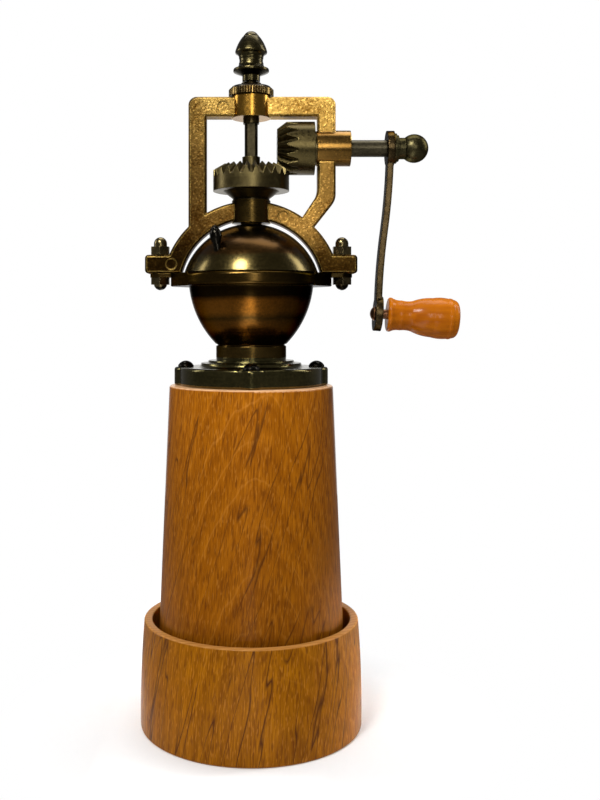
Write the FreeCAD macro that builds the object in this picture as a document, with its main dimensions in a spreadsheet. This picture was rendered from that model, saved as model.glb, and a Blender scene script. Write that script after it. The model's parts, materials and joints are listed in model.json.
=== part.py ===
import FreeCAD, Part
import Sketcher
import math
import os
import re

# Pepper mill with an oak body, a brass hopper and bevel gears turned by a side crank.
# Frame: origin at the centre of the cup's flat foot, +Z up, +X towards the crank, millimetres.

SIZES = {
    "General clearances": {
        "fit": 0.05,
        "slip": 0.3,
    },
    "Catch cup": {
        "cup_foot_radius": 43.2,
        "cup_mouth_radius": 41.8,
        "cup_height": 41.2,
        "cup_floor": 7.0,
        "cup_wall": 3.2,
        "cup_play": 0.4,
        "cup_edge": 1.2,
        "cup_curve": 400.0,
    },
    "Oak body": {
        "body_foot_radius": 37.2,
        "body_top_radius": 32.1,
        "body_height": 124.7,
        "body_edge": 0.9,
        "well_radius": 13.5,
    },
    "Base flange": {
        "flange_radius": 28.0,
        "flange_thickness": 7.2,
        "flange_edge": 1.6,
        "lobe_radius": 4.5,
        "lobe_edge": 0.9,
        "screw_circle": 25.7,
        "screw_count": 4,
        "spigot_wall": 4.0,
        "spigot_depth": 16.7,
        "neck_radius": 13.8,
        "neck_wall": 1.8,
        "step_width": 2.9,
        "step_one_rise": 1.6,
        "step_two_rise": 1.0,
        "neck_rise": 1.2,
    },
    "Flange screws": {
        "screw_head_radius": 3.1,
        "screw_head_height": 2.4,
        "screw_lip": 0.5,
        "screw_radius": 1.6,
        "screw_depth": 14.0,
    },
    "Hopper bowl": {
        "bowl_height": 32.7,
        "bowl_inset": 3.1,
        "bowl_curve": 37.5,
        "bowl_wall": 1.2,
        "bowl_foot": 5.3,
        "bowl_foot_wall": 2.0,
        "collar_height": 4.3,
        "collar_groove": 0.8,
        "rim_lip": 1.0,
        "rim_thickness": 5.0,
        "lug_width": 8.0,
        "lug_block": 3.8,
        "lug_count": 2,
        "tab_thickness": 1.5,
    },
    "Clamp bolts and acorn nuts": {
        "bolt_spread": 8.2,
        "bolt_radius": 2.0,
        "nut_flats": 7.0,
        "bolt_head": 2.8,
        "bolt_button_radius": 2.6,
        "bolt_button": 2.2,
        "nut_height": 3.3,
        "nut_dome": 3.8,
    },
    "Gear frame": {
        "frame_thickness": 8.0,
        "frame_band": 7.0,
        "bar_height": 7.7,
        "frame_corner": 3.3,
        "frame_bevel": 0.8,
        "arch_gap": 0.5,
        "arch_drop": 6.7,
        "ear_margin": 5.8,
        "ear_height": 7.3,
        "ear_corner": 1.4,
        "left_clearance": 3.1,
        "brace_outer": 24.7,
        "brace_inner": 20.0,
        "brace_top": 35.3,
        "brace_step": 2.5,
        "brace_corner": 2.4,
        "window_rise": 12.0,
        "boss_radius": 7.6,
        "boss_proud": 0.6,
        "boss_step": 0.3,
        "crank_boss_radius": 7.0,
        "crank_boss_length": 13.2,
        "bush_wall": 0.5,
        "mark_radius": 2.1,
        "mark_depth": 0.5,
        "bar_mark_x": -11.0,
        "arch_mark_x": 12.5,
        "ear_mark_x": -31.2,
    },
    "Dome and hatch": {
        "dome_radius": 27.5,
        "dome_drop": 7.9,
        "dome_wall": 0.8,
        "dome_gap": 0.1,
        "pivot_wall": 1.0,
        "dome_lap": 4.0,
        "eye_margin": 3.2,
        "retainer_margin": 1.8,
        "retainer_height": 1.5,
        "knob_azimuth": 233.7,
        "knob_offset": 21.5,
        "knob_height": 8.4,
        "knob_belly_at": 4.8,
        "knob_radius": 2.3,
        "knob_stem": 1.45,
        "knob_lean": 8.0,
    },
    "Bevel gears": {
        "tooth_module": 1.2,
        "gear_teeth": 24,
        "pinion_teeth": 16,
        "addendum": 1.0,
        "dedendum": 1.15,
        "tooth_face": 4.6,
        "tooth_gap_share": 0.6,
        "gap_start": 0.55,
        "gap_end": 1.2,
        "pressure_angle": 28.0,
        "gear_depth": 20.2,
        "gear_hub_radius": 6.8,
        "gear_hub_drop": 3.3,
        "gear_rim": 3.9,
        "gear_web_sink": 1.8,
        "gear_boss_radius": 3.5,
        "gear_boss_rise": 4.8,
        "gear_washer": 0.5,
        "pinion_hub": 10.4,
        "crank_washer": 0.9,
    },
    "Spindle and grind adjustment": {
        "spindle_radius": 2.6,
        "spindle_flats": 4.2,
        "spindle_thread": 2.05,
        "spindle_tail": 5.8,
        "spindle_collar": 3.8,
        "collar_thickness": 1.2,
        "spindle_tip": 17.4,
        "thread_lead": 0.8,
        "bush_reach": 2.4,
        "disc_radius": 8.85,
        "disc_thickness": 3.6,
        "disc_chamfer": 1.2,
        "disc_gap": 0.1,
        "knurl_count": 52,
        "knurl_depth": 0.4,
        "knurl_width": 1.5,
        "hub_radius": 3.9,
        "hub_height": 1.6,
        "finial_gap": 0.6,
        "finial_height": 19.9,
        "finial_neck": 3.5,
        "finial_neck_height": 2.4,
        "finial_disc": 7.05,
        "finial_disc_at": 3.9,
        "finial_disc_height": 0.9,
        "finial_waist": 4.65,
        "finial_waist_at": 7.6,
        "finial_waist_height": 1.3,
        "finial_radius": 6.3,
        "finial_ridge_at": 11.4,
        "finial_ridge": 0.7,
        "finial_shoulder": 3.5,
        "finial_ogive": 2.6,
        "finial_button": 3.05,
        "finial_button_at": 17.6,
        "finial_crown": 1.7,
    },
    "Burrs": {
        "guide_recess": 3.5,
        "guide_hub": 5.0,
        "guide_arm": 2.4,
        "guide_arms": 3,
        "guide_ring": 1.5,
        "guide_shoulder": 0.6,
        "stator_sink": 3.7,
        "stator_height": 11.0,
        "stator_flare": 0.6,
        "stator_teeth": 14,
        "rotor_radius": 9.9,
        "rotor_drop": 0.8,
        "burr_top_radius": 5.0,
        "burr_height": 13.6,
        "burr_gap": 0.9,
        "burr_land": 2.0,
        "burr_teeth": 10,
        "burr_tooth_depth": 1.0,
        "burr_washer": 0.8,
        "burr_nut_height": 3.2,
    },
    "Crank": {
        "crank_radius": 3.3,
        "crank_overhang": 14.3,
        "crank_square": 3.8,
        "crank_thread": 1.9,
        "crank_tip": 6.0,
        "arm_reach": 65.2,
        "arm_lean": 4.2,
        "arm_thickness": 2.4,
        "arm_width": 6.8,
        "arm_bow": 0.5,
        "upper_eye_radius": 6.9,
        "upper_eye": 2.8,
        "lower_eye_radius": 6.8,
        "lower_eye": 2.8,
        "ball_radius": 5.6,
        "ball_reach": 8.1,
        "ball_neck": 4.2,
        "ball_collar_radius": 5.9,
        "ball_collar": 1.1,
        "ball_step_radius": 5.2,
        "ball_step": 0.8,
    },
    "Handle": {
        "pin_radius": 1.9,
        "rivet_radius": 2.9,
        "rivet_height": 1.7,
        "handle_gap": 2.2,
        "handle_length": 27.9,
        "handle_edge": 1.6,
        "handle_flange": 7.0,
        "handle_waist": 5.5,
        "handle_waist_at": 7.5,
        "handle_belly": 8.45,
        "handle_belly_at": 20.6,
        "handle_shoulder": 7.3,
        "handle_end_edge": 1.9,
        "handle_bend": 0.42,
        "pin_head_radius": 3.4,
        "pin_head": 1.2,
        "pin_sink": 3.0,
    },
}

doc = FreeCAD.newDocument("pepper_mill")
sheet = doc.addObject("Spreadsheet::Sheet", "dim")
row = 0
for group, sizes in SIZES.items():
    row += 1
    sheet.set(f"A{row}", group)
    for alias, size in sizes.items():
        row += 1
        sheet.set(f"A{row}", alias.replace("_", " "))
        sheet.set(f"B{row}", str(size))
        sheet.setAlias(f"B{row}", alias)
doc.recompute()
ALIASES = {alias for sizes in SIZES.values() for alias in sizes}


def d(expression):
    """Put the sheet's name before each of its aliases in an expression."""
    def named(match):
        return f"dim.{match[0]}" if match[0] in ALIASES else match[0]
    return re.sub(r"(?<![\w.])[a-z]\w*", named, expression)


def bind(item, size, expression):
    """Bind one of an object's sizes to an expression over the sheet."""
    item.setExpression(size, d(expression))


def value(expression):
    """The number that an expression over the sheet gives."""
    result = sheet.evalExpression(d(expression))
    return float(getattr(result, "Value", result))


# Heights of the stack, each from the piece below it.
BODY_FOOT = d("cup_floor")
BODY_TOP = d("(cup_floor + body_height)")
FLANGE_TOP = d(f"({BODY_TOP} + flange_thickness)")
STEP_ONE = d(f"({FLANGE_TOP} + step_one_rise)")
STEP_TWO = d(f"({STEP_ONE} + step_two_rise)")
NECK_TOP = d(f"({STEP_TWO} + neck_rise)")
RIM_TOP = d(f"({NECK_TOP} + bowl_height)")
RIM_FOOT = d(f"({RIM_TOP} - rim_thickness)")
TAB_FOOT = d(f"({RIM_TOP} - tab_thickness)")
EAR_TOP = d(f"({RIM_TOP} + ear_height)")
ARCH_Z = d(f"({RIM_TOP} - arch_drop)")
ARCH_IN = d("(dome_radius + arch_gap)")
ARCH_OUT = d(f"({ARCH_IN} + frame_band)")
BOSS_TOP = d(f"({ARCH_Z} + {ARCH_OUT} + boss_step)")
GEAR_FOOT = d(f"({BOSS_TOP} + gear_washer)")
SHAFT_Z = d(f"({GEAR_FOOT} + gear_depth)")
BAR_FOOT = d(f"({SHAFT_Z} + window_rise)")
FRAME_TOP = d(f"({BAR_FOOT} + bar_height)")
BOSS_CAP = d(f"({FRAME_TOP} + boss_proud)")
DOME_Z = d(f"({RIM_TOP} - dome_drop)")
DOME_TOP = d(f"({DOME_Z} + dome_radius)")
BOSS_FOOT = d(f"({DOME_TOP} + dome_gap)")

# Radii and offsets that several pieces share.
NECK_BORE = d("(neck_radius - neck_wall)")
STATOR_RADIUS = d("(well_radius - fit)")
SPIGOT_RADIUS = d("(well_radius + spigot_wall)")
RIM_RADIUS = d("(dome_radius + rim_lip)")
BOWL_RADIUS = d("(dome_radius - bowl_inset)")
BOLT_X = d("(dome_radius + bolt_spread)")
GEAR_PITCH = d("(tooth_module * gear_teeth / 2)")
PINION_PITCH = d("(tooth_module * pinion_teeth / 2)")
CONE = d(f"sqrt({GEAR_PITCH} ^ 2 + {PINION_PITCH} ^ 2)")
PINION_BACK = d(f"({GEAR_PITCH} + pinion_hub)")
CRANK_FACE = d(f"({PINION_BACK} + crank_washer)")
POST_RIGHT = d(f"({CRANK_FACE} + boss_step)")
POST_LEFT = d(f"({GEAR_PITCH} + left_clearance)")
BOSS_END = d(f"({CRANK_FACE} + crank_boss_length)")
ARM_X = d(f"({BOSS_END} + crank_overhang)")
SPINDLE_BORE = d("(spindle_radius + fit)")
BUSH_RADIUS = d(f"({SPINDLE_BORE} + bush_wall)")
CRANK_BORE = d("(crank_radius + fit)")
CRANK_BUSH_RADIUS = d(f"({CRANK_BORE} + bush_wall)")
PIVOT_RADIUS = d(f"({BUSH_RADIUS} + pivot_wall)")
EYE_BORE = d(f"({PIVOT_RADIUS} + fit)")
EYE_RADIUS = d(f"({EYE_BORE} + eye_margin)")
COVER_RADIUS = d("(dome_radius - dome_wall - slip)")
RETAINER_RADIUS = d(f"({PIVOT_RADIUS} + retainer_margin)")


def new_body(label):
    """An empty body, named and labelled after its piece."""
    body = doc.addObject("PartDesign::Body", label)
    body.Label = label
    return body


def origin_feature(body, role):
    """One of the body's own axes or planes."""
    return next(item for item in body.Origin.OriginFeatures if item.Role == role)


def new_sketch(body, name, plane="XZ_Plane", offset=None):
    """A sketch on one of the body's planes, moved along the plane's normal by offset."""
    sketch = body.newObject("Sketcher::SketchObject", f"{body.Name}_{name}")
    sketch.AttachmentSupport = [(origin_feature(body, plane), "")]
    sketch.MapMode = "FlatFace"
    if offset is not None:
        bind(sketch, ".AttachmentOffset.Base.z", offset)
    return sketch


def hold(sketch, geometry, position, x, y):
    """Hold a point at x, y from the sketch's origin, both expressions of the sheet."""
    axis_codes = (("DistanceX", x, -2), ("DistanceY", y, -1))
    for kind, expression, axis in axis_codes:
        if str(expression) == "0":
            sketch.addConstraint(Sketcher.Constraint("PointOnObject", geometry, position, axis))
            continue
        size = value(expression)
        index = sketch.addConstraint(Sketcher.Constraint(kind, -1, 1, geometry, position, size))
        bind(sketch, f"Constraints[{index}]", expression)


def arc_between(start, end, radius, side):
    """The shorter arc from start to end, its centre left (1) or right (-1) of the way there."""
    chord = end - start
    middle = (start + end) * 0.5
    left = FreeCAD.Vector(-chord.y, chord.x, 0).normalize()
    rise = math.sqrt(max(radius ** 2 - (chord.Length / 2) ** 2, 0.0))
    centre = middle + left * (rise * side)
    first, last = (start, end) if side > 0 else (end, start)
    begin = math.atan2(first.y - centre.y, first.x - centre.x)
    finish = math.atan2(last.y - centre.y, last.x - centre.x)
    if finish < begin:
        finish += 2 * math.pi
    circle = Part.Circle(centre, FreeCAD.Vector(0, 0, 1), radius)
    return Part.ArcOfCircle(circle, begin, finish)


def outline(sketch, corners):
    """A closed chain through corners, each held by its own two distances.

    A corner is (x, y), or (x, y, radius, side) where the way to it is an arc of that radius
    with its centre to the left (side 1) or to the right (side -1).
    """
    points = [FreeCAD.Vector(value(corner[0]), value(corner[1]), 0) for corner in corners]
    chain = []
    for index, corner in enumerate(corners):
        start = points[index - 1]
        end = points[index]
        if len(corner) == 2:
            chain.append((sketch.addGeometry(Part.LineSegment(start, end)), 1, 2))
            continue
        arc = sketch.addGeometry(arc_between(start, end, value(corner[2]), corner[3]))
        chain.append((arc, 1, 2) if corner[3] > 0 else (arc, 2, 1))
    for index, (geometry, first, last) in enumerate(chain):
        following = chain[(index + 1) % len(chain)]
        meet = Sketcher.Constraint("Coincident", geometry, last, following[0], following[1])
        sketch.addConstraint(meet)
    for (geometry, first, last), corner in zip(chain, corners):
        hold(sketch, geometry, last, corner[0], corner[1])
        if len(corner) == 4:
            size = value(corner[2])
            index = sketch.addConstraint(Sketcher.Constraint("Radius", geometry, size))
            bind(sketch, f"Constraints[{index}]", corner[2])


def circle(sketch, x, y, radius):
    """A circle held at x, y."""
    centre = FreeCAD.Vector(value(x), value(y), 0)
    ring = Part.Circle(centre, FreeCAD.Vector(0, 0, 1), value(radius))
    geometry = sketch.addGeometry(ring)
    hold(sketch, geometry, 3, x, y)
    index = sketch.addConstraint(Sketcher.Constraint("Radius", geometry, value(radius)))
    bind(sketch, f"Constraints[{index}]", radius)


def hexagon(sketch, x, flats):
    """A hexagon about a point of the sketch's x axis, with two flats facing along that axis."""
    half = f"({flats} / 2)"
    short = f"({flats} / (2 * sqrt(3)))"
    tip = f"({flats} / sqrt(3))"
    left = f"-{half}" if x == "0" else f"({x} - {half})"
    right = half if x == "0" else f"({x} + {half})"
    outline(sketch, [(right, f"-{short}"), (right, short), (x, tip),
                     (left, short), (left, f"-{short}"), (x, f"-{tip}")])


def slot(sketch, start, end, half_width):
    """A strip along the sketch's x axis from start, square there, to end, round there."""
    shoulder = f"({end} - {half_width})"
    outline(sketch, [(start, f"-{half_width}"), (shoulder, f"-{half_width}"),
                     (end, "0", half_width, 1), (shoulder, half_width, half_width, 1),
                     (start, half_width)])


def revolve(body, name, profile, angle="360"):
    """Turn a profile, given as corners (radius, height), about the body's Z axis."""
    sketch = new_sketch(body, f"{name}_profile")
    outline(sketch, profile)
    feature = body.newObject("PartDesign::Revolution", f"{body.Name}_{name}")
    feature.Profile = sketch
    feature.ReferenceAxis = (sketch, ["V_Axis"])
    bind(feature, "Angle", angle)
    return feature


def revolve_at(body, name, x, profile):
    """Turn a profile about the upright line at x, with radii counted from that line."""
    sketch = new_sketch(body, f"{name}_profile")
    foot = FreeCAD.Vector(value(x), value(profile[0][1]), 0)
    top = FreeCAD.Vector(value(x), value(profile[-1][1]), 0)
    axis = sketch.addGeometry(Part.LineSegment(foot, top), True)
    hold(sketch, axis, 1, x, profile[0][1])
    hold(sketch, axis, 2, x, profile[-1][1])
    outline(sketch, [(f"({x} + {corner[0]})",) + tuple(corner[1:]) for corner in profile])
    feature = body.newObject("PartDesign::Revolution", f"{body.Name}_{name}")
    feature.Profile = sketch
    feature.ReferenceAxis = (sketch, ["Axis0"])
    feature.Angle = 360
    return feature


def lathe(label, profile):
    """A turned piece about Z."""
    body = new_body(label)
    revolve(body, "turned", profile)
    return body


def extrude(body, name, sketch, length, kind="Pad", symmetric=False):
    """Pad a sketch along its normal, or pocket it against its normal."""
    feature = body.newObject(f"PartDesign::{kind}", f"{body.Name}_{name}")
    feature.Profile = sketch
    feature.SideType = "Symmetric" if symmetric else "One side"
    bind(feature, "Length", length)
    return feature


def cut_loft(body, name, sections):
    """Cut away the straight-sided form between two sketches."""
    feature = body.newObject("PartDesign::SubtractiveLoft", f"{body.Name}_{name}")
    feature.Profile = sections[0]
    feature.Sections = [sections[1]]
    feature.Ruled = True
    return feature


def around(body, features, count):
    """Repeat features evenly about the body's Z axis."""
    pattern = body.newObject("PartDesign::PolarPattern", f"{features[-1].Name}_around")
    pattern.Originals = features
    pattern.Axis = (origin_feature(body, "Z_Axis"), [""])
    pattern.Angle = 360
    bind(pattern, "Occurrences", count)
    body.Tip = pattern
    return pattern


def along_x(body, turn=0.0):
    """Lay a body's Z axis on the crank's axis, its X axis pointing down, turned about the axis."""
    lay = FreeCAD.Rotation(FreeCAD.Vector(0, 1, 0), 90)
    spin = FreeCAD.Rotation(FreeCAD.Vector(0, 0, 1), turn)
    body.Placement = FreeCAD.Placement(FreeCAD.Vector(0, 0, 0), lay * spin)
    bind(body, "Placement.Base.z", SHAFT_Z)


def double_d(sketch, radius, half_flats):
    """A circle cut by two flats that face along the sketch's y axis."""
    corner = f"sqrt({radius} ^ 2 - {half_flats} ^ 2)"
    outline(sketch, [(corner, f"-{half_flats}"), (corner, half_flats, radius, 1),
                     (f"-{corner}", half_flats), (f"-{corner}", f"-{half_flats}", radius, 1)])


def swell(rise, run):
    """Radius of an arc that leaves square to its rise and gains the rise over the run."""
    return f"((({rise}) ^ 2 + ({run}) ^ 2) / (2 * ({rise})))"


# Oak cup and body.
lathe("catch_cup", [
    ("0", "0"),
    ("cup_foot_radius - cup_edge", "0"),
    ("cup_foot_radius", "cup_edge", "cup_edge", 1),
    ("cup_mouth_radius", "cup_height - cup_edge", "cup_curve", 1),
    ("cup_mouth_radius - cup_edge", "cup_height", "cup_edge", 1),
    ("cup_mouth_radius - cup_wall + cup_edge / 2", "cup_height"),
    ("cup_mouth_radius - cup_wall", "cup_height - cup_edge / 2", "cup_edge / 2", 1),
    ("body_foot_radius + cup_play", "cup_floor"),
    ("0", "cup_floor"),
])

COUNTERBORE = f"({SPIGOT_RADIUS} + slip)"
COUNTERBORE_FOOT = f"({BODY_TOP} - spigot_depth - slip)"
mill_body = lathe("mill_body", [
    ("well_radius", BODY_FOOT),
    ("body_foot_radius - body_edge", BODY_FOOT),
    ("body_foot_radius", f"{BODY_FOOT} + body_edge", "body_edge", 1),
    ("body_top_radius", f"{BODY_TOP} - body_edge"),
    ("body_top_radius - body_edge", BODY_TOP, "body_edge", 1),
    (COUNTERBORE, BODY_TOP),
    (COUNTERBORE, COUNTERBORE_FOOT),
    ("well_radius", COUNTERBORE_FOOT),
])
pilot_sketch = new_sketch(mill_body, "pilot_circle", "XY_Plane", BODY_TOP)
circle(pilot_sketch, "screw_circle", "0", "screw_radius + fit")
pilot = extrude(mill_body, "pilot", pilot_sketch, "screw_depth + slip", "Pocket")
around(mill_body, [pilot], "screw_count")

# Brass foot: lobed disc, stepped moulding, neck above and spigot below.
STEP_TWO_RADIUS = "(neck_radius + step_width)"
STEP_ONE_RADIUS = f"({STEP_TWO_RADIUS} + step_width)"
SPIGOT_FOOT = f"({BODY_TOP} - spigot_depth)"
STATOR_TOP = f"({BODY_TOP} - stator_sink)"
GUIDE_FOOT = f"({NECK_TOP} - guide_recess)"
GUIDE_RADIUS = f"({NECK_BORE} + guide_shoulder)"
base_flange = lathe("base_flange", [
    ("well_radius", SPIGOT_FOOT),
    (SPIGOT_RADIUS, SPIGOT_FOOT),
    (SPIGOT_RADIUS, BODY_TOP),
    ("flange_radius", BODY_TOP),
    ("flange_radius", f"{FLANGE_TOP} - flange_edge"),
    ("flange_radius - flange_edge", FLANGE_TOP, "flange_edge", 1),
    (f"{STEP_ONE_RADIUS} + step_one_rise", FLANGE_TOP),
    (STEP_ONE_RADIUS, STEP_ONE, "step_one_rise", -1),
    (f"{STEP_TWO_RADIUS} + step_two_rise", STEP_ONE),
    (STEP_TWO_RADIUS, STEP_TWO, "step_two_rise", -1),
    ("neck_radius", STEP_TWO),
    ("neck_radius", NECK_TOP),
    (GUIDE_RADIUS, NECK_TOP),
    (GUIDE_RADIUS, GUIDE_FOOT),
    (NECK_BORE, GUIDE_FOOT),
    (NECK_BORE, STATOR_TOP),
    ("well_radius", STATOR_TOP),
])
lobe = revolve_at(base_flange, "lobe", "screw_circle", [
    ("0", BODY_TOP),
    ("lobe_radius", BODY_TOP),
    ("lobe_radius", f"{FLANGE_TOP} - lobe_edge"),
    ("lobe_radius - lobe_edge", FLANGE_TOP, "lobe_edge", 1),
    ("0", FLANGE_TOP),
])
around(base_flange, [lobe], "screw_count")
screw_hole_sketch = new_sketch(base_flange, "screw_hole_circle", "XY_Plane", FLANGE_TOP)
circle(screw_hole_sketch, "screw_circle", "0", "screw_radius + fit")
screw_hole = extrude(base_flange, "screw_hole", screw_hole_sketch, "flange_thickness + slip", "Pocket")
around(base_flange, [screw_hole], "screw_count")

SCREW_FOOT = f"({BODY_TOP} - screw_depth)"
SCREW_LIP = f"({FLANGE_TOP} + screw_lip)"
flange_screws = new_body("flange_screws")
screw = revolve_at(flange_screws, "screw", "screw_circle", [
    ("0", SCREW_FOOT),
    ("screw_radius", f"{SCREW_FOOT} + 2 * screw_radius"),
    ("screw_radius", FLANGE_TOP),
    ("screw_head_radius", FLANGE_TOP),
    ("screw_head_radius", SCREW_LIP),
    ("0", f"{FLANGE_TOP} + screw_head_height",
     swell("screw_head_height - screw_lip", "screw_head_radius"), 1),
])
around(flange_screws, [screw], "screw_count")

# Hopper bowl with its rim ring and two lugs.
BOWL_FOOT = f"({NECK_TOP} + bowl_foot)"
COLLAR_TOP = f"({NECK_TOP} + collar_height)"
BOWL_MOUTH = f"({BOWL_RADIUS} - bowl_wall)"
hopper_bowl = lathe("hopper_bowl", [
    (NECK_BORE, NECK_TOP),
    ("neck_radius", NECK_TOP),
    ("neck_radius", COLLAR_TOP),
    ("neck_radius - collar_groove", f"({COLLAR_TOP} + {BOWL_FOOT}) / 2"),
    (f"{NECK_BORE} + bowl_foot_wall", BOWL_FOOT),
    (BOWL_RADIUS, RIM_FOOT, "bowl_curve", 1),
    (f"{RIM_RADIUS} - bowl_wall", RIM_FOOT),
    (RIM_RADIUS, f"{RIM_FOOT} + bowl_wall", "bowl_wall", 1),
    (RIM_RADIUS, f"{RIM_TOP} - bowl_wall"),
    (f"{RIM_RADIUS} - bowl_wall", RIM_TOP, "bowl_wall", 1),
    (BOWL_MOUTH, RIM_TOP),
    (BOWL_MOUTH, RIM_FOOT),
    (NECK_BORE, BOWL_FOOT, "bowl_curve - bowl_wall", -1),
])
HALF_LUG = "(lug_width / 2)"
LUG_X = "(dome_radius + lug_block)"
LUG_TURN = (f"(atan({HALF_LUG} / {LUG_X})"
            f" + acos({RIM_RADIUS} / sqrt({LUG_X} ^ 2 + {HALF_LUG} ^ 2)))")
ROOT_X = f"({RIM_RADIUS} * cos({LUG_TURN}))"
ROOT_Y = f"({RIM_RADIUS} * sin({LUG_TURN}))"
block_sketch = new_sketch(hopper_bowl, "block_outline", "XY_Plane", RIM_FOOT)
outline(block_sketch, [
    (ROOT_X, f"-{ROOT_Y}"),
    (LUG_X, f"-{HALF_LUG}"),
    (LUG_X, HALF_LUG),
    (ROOT_X, ROOT_Y),
    (BOWL_RADIUS, "0"),
])
block = extrude(hopper_bowl, "block", block_sketch, "rim_thickness")
tab_sketch = new_sketch(hopper_bowl, "tab_outline", "XY_Plane", TAB_FOOT)
slot(tab_sketch, BOWL_RADIUS, f"({BOLT_X} + {HALF_LUG})", HALF_LUG)
tab = extrude(hopper_bowl, "tab", tab_sketch, "tab_thickness")
around(hopper_bowl, [block, tab], "lug_count")
tab_hole_sketch = new_sketch(hopper_bowl, "tab_hole_circle", "XY_Plane", RIM_TOP)
circle(tab_hole_sketch, BOLT_X, "0", "bolt_radius + fit")
tab_hole = extrude(hopper_bowl, "tab_hole", tab_hole_sketch, "rim_thickness", "Pocket")
around(hopper_bowl, [tab_hole], "lug_count")

# Clamp bolts up through the lugs and ears, with acorn nuts on top.
HEAD_FOOT = f"({TAB_FOOT} - bolt_head)"
BOLT_TOP = f"({EAR_TOP} + nut_height)"
clamp_bolts = new_body("clamp_bolts")
head_sketch = new_sketch(clamp_bolts, "head_outline", "XY_Plane", HEAD_FOOT)
hexagon(head_sketch, BOLT_X, "nut_flats")
head = extrude(clamp_bolts, "head", head_sketch, "bolt_head")
shank = revolve_at(clamp_bolts, "shank", BOLT_X, [
    ("0", f"{HEAD_FOOT} - bolt_button"),
    ("bolt_button_radius", HEAD_FOOT, swell("bolt_button", "bolt_button_radius"), 1),
    ("bolt_button_radius", f"{HEAD_FOOT} + bolt_head / 2"),
    ("bolt_radius", f"{HEAD_FOOT} + bolt_head / 2"),
    ("bolt_radius", BOLT_TOP),
    ("0", BOLT_TOP),
])
around(clamp_bolts, [head, shank], "lug_count")

NUT_LIP = f"({EAR_TOP} + nut_height + nut_dome - bolt_button_radius)"
acorn_nuts = new_body("acorn_nuts")
nut_sketch = new_sketch(acorn_nuts, "nut_outline", "XY_Plane", EAR_TOP)
hexagon(nut_sketch, BOLT_X, "nut_flats")
nut = extrude(acorn_nuts, "nut", nut_sketch, "nut_height")
acorn = revolve_at(acorn_nuts, "acorn", BOLT_X, [
    ("0", f"{EAR_TOP} + nut_height / 2"),
    ("bolt_button_radius", f"{EAR_TOP} + nut_height / 2"),
    ("bolt_button_radius", NUT_LIP),
    ("0", f"{EAR_TOP} + nut_height + nut_dome", "bolt_button_radius", 1),
])
nut_hole_sketch = new_sketch(acorn_nuts, "nut_hole_circle", "XY_Plane", EAR_TOP)
circle(nut_hole_sketch, BOLT_X, "0", "bolt_radius + fit")
nut_hole = extrude(acorn_nuts, "nut_hole", nut_hole_sketch, "nut_height + slip", "Pocket")
nut_hole.Reversed = True
around(acorn_nuts, [nut, acorn, nut_hole], "lug_count")

# Cast gear frame: arch over the dome, two posts, top bar, three bosses and a pivot below.
EAR_X = f"({BOLT_X} + ear_margin)"
ARCH_FOOT_X = f"sqrt({ARCH_IN} ^ 2 - arch_drop ^ 2)"
EAR_ROOT_X = f"sqrt({ARCH_OUT} ^ 2 - ({EAR_TOP} - {ARCH_Z}) ^ 2)"
LEFT_OUTER = f"({POST_LEFT} + frame_band)"
RIGHT_OUTER = f"({POST_RIGHT} + frame_band)"
BRACE_TOP = f"({ARCH_Z} + brace_top)"
COVER_BORE = f"({COVER_RADIUS} - dome_wall)"
RETAINER_TOP = f"({DOME_Z} + sqrt({COVER_BORE} ^ 2 - {RETAINER_RADIUS} ^ 2) - dome_gap)"
RETAINER_FOOT = f"({RETAINER_TOP} - retainer_height)"


def arch_height(x):
    """Height of the arch's outer edge at a distance x from the middle."""
    return f"({ARCH_Z} + sqrt({ARCH_OUT} ^ 2 - ({x}) ^ 2))"


def brace_bend(start_x, end_x, end_z):
    """Two corners, joined by an arc, where a brace that starts on the arch turns up into the post."""
    run = f"({end_x} - {start_x})"
    rise = f"({end_z} - {arch_height(start_x)})"
    length = f"sqrt({run} ^ 2 + {rise} ^ 2)"
    return [
        (f"{end_x} - brace_corner * {run} / {length}", f"{end_z} - brace_corner * {rise} / {length}"),
        (end_x, f"{end_z} + brace_corner", f"brace_corner / tan(atan({run} / {rise}) / 2)", 1),
    ]


gear_frame = new_body("gear_frame")
frame_sketch = new_sketch(gear_frame, "outline")
outline(frame_sketch, [
    (ARCH_FOOT_X, RIM_TOP, ARCH_IN, -1),
    (f"{EAR_X} - ear_corner", RIM_TOP),
    (EAR_X, f"{RIM_TOP} + ear_corner", "ear_corner", 1),
    (EAR_X, f"{EAR_TOP} - ear_corner"),
    (f"{EAR_X} - ear_corner", EAR_TOP, "ear_corner", 1),
    (EAR_ROOT_X, EAR_TOP),
    ("brace_outer", arch_height("brace_outer"), ARCH_OUT, 1),
    *brace_bend("brace_outer", RIGHT_OUTER, BRACE_TOP),
    (RIGHT_OUTER, f"{FRAME_TOP} - frame_corner"),
    (f"{RIGHT_OUTER} - frame_corner", FRAME_TOP, "frame_corner", 1),
    (f"-({LEFT_OUTER} - frame_corner)", FRAME_TOP),
    (f"-{LEFT_OUTER}", f"{FRAME_TOP} - frame_corner", "frame_corner", 1),
    (f"-{LEFT_OUTER}", arch_height(LEFT_OUTER)),
    (f"-{EAR_ROOT_X}", EAR_TOP, ARCH_OUT, 1),
    (f"-({EAR_X} - ear_corner)", EAR_TOP),
    (f"-{EAR_X}", f"{EAR_TOP} - ear_corner", "ear_corner", 1),
    (f"-{EAR_X}", f"{RIM_TOP} + ear_corner"),
    (f"-({EAR_X} - ear_corner)", RIM_TOP, "ear_corner", 1),
    (f"-{ARCH_FOOT_X}", RIM_TOP),
])
outline(frame_sketch, [
    (f"-{POST_LEFT}", arch_height(POST_LEFT)),
    ("brace_inner", arch_height("brace_inner"), ARCH_OUT, -1),
    *brace_bend("brace_inner", POST_RIGHT, f"({BRACE_TOP} + brace_step)"),
    (POST_RIGHT, BAR_FOOT),
    (f"-{POST_LEFT}", BAR_FOOT),
])
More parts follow.
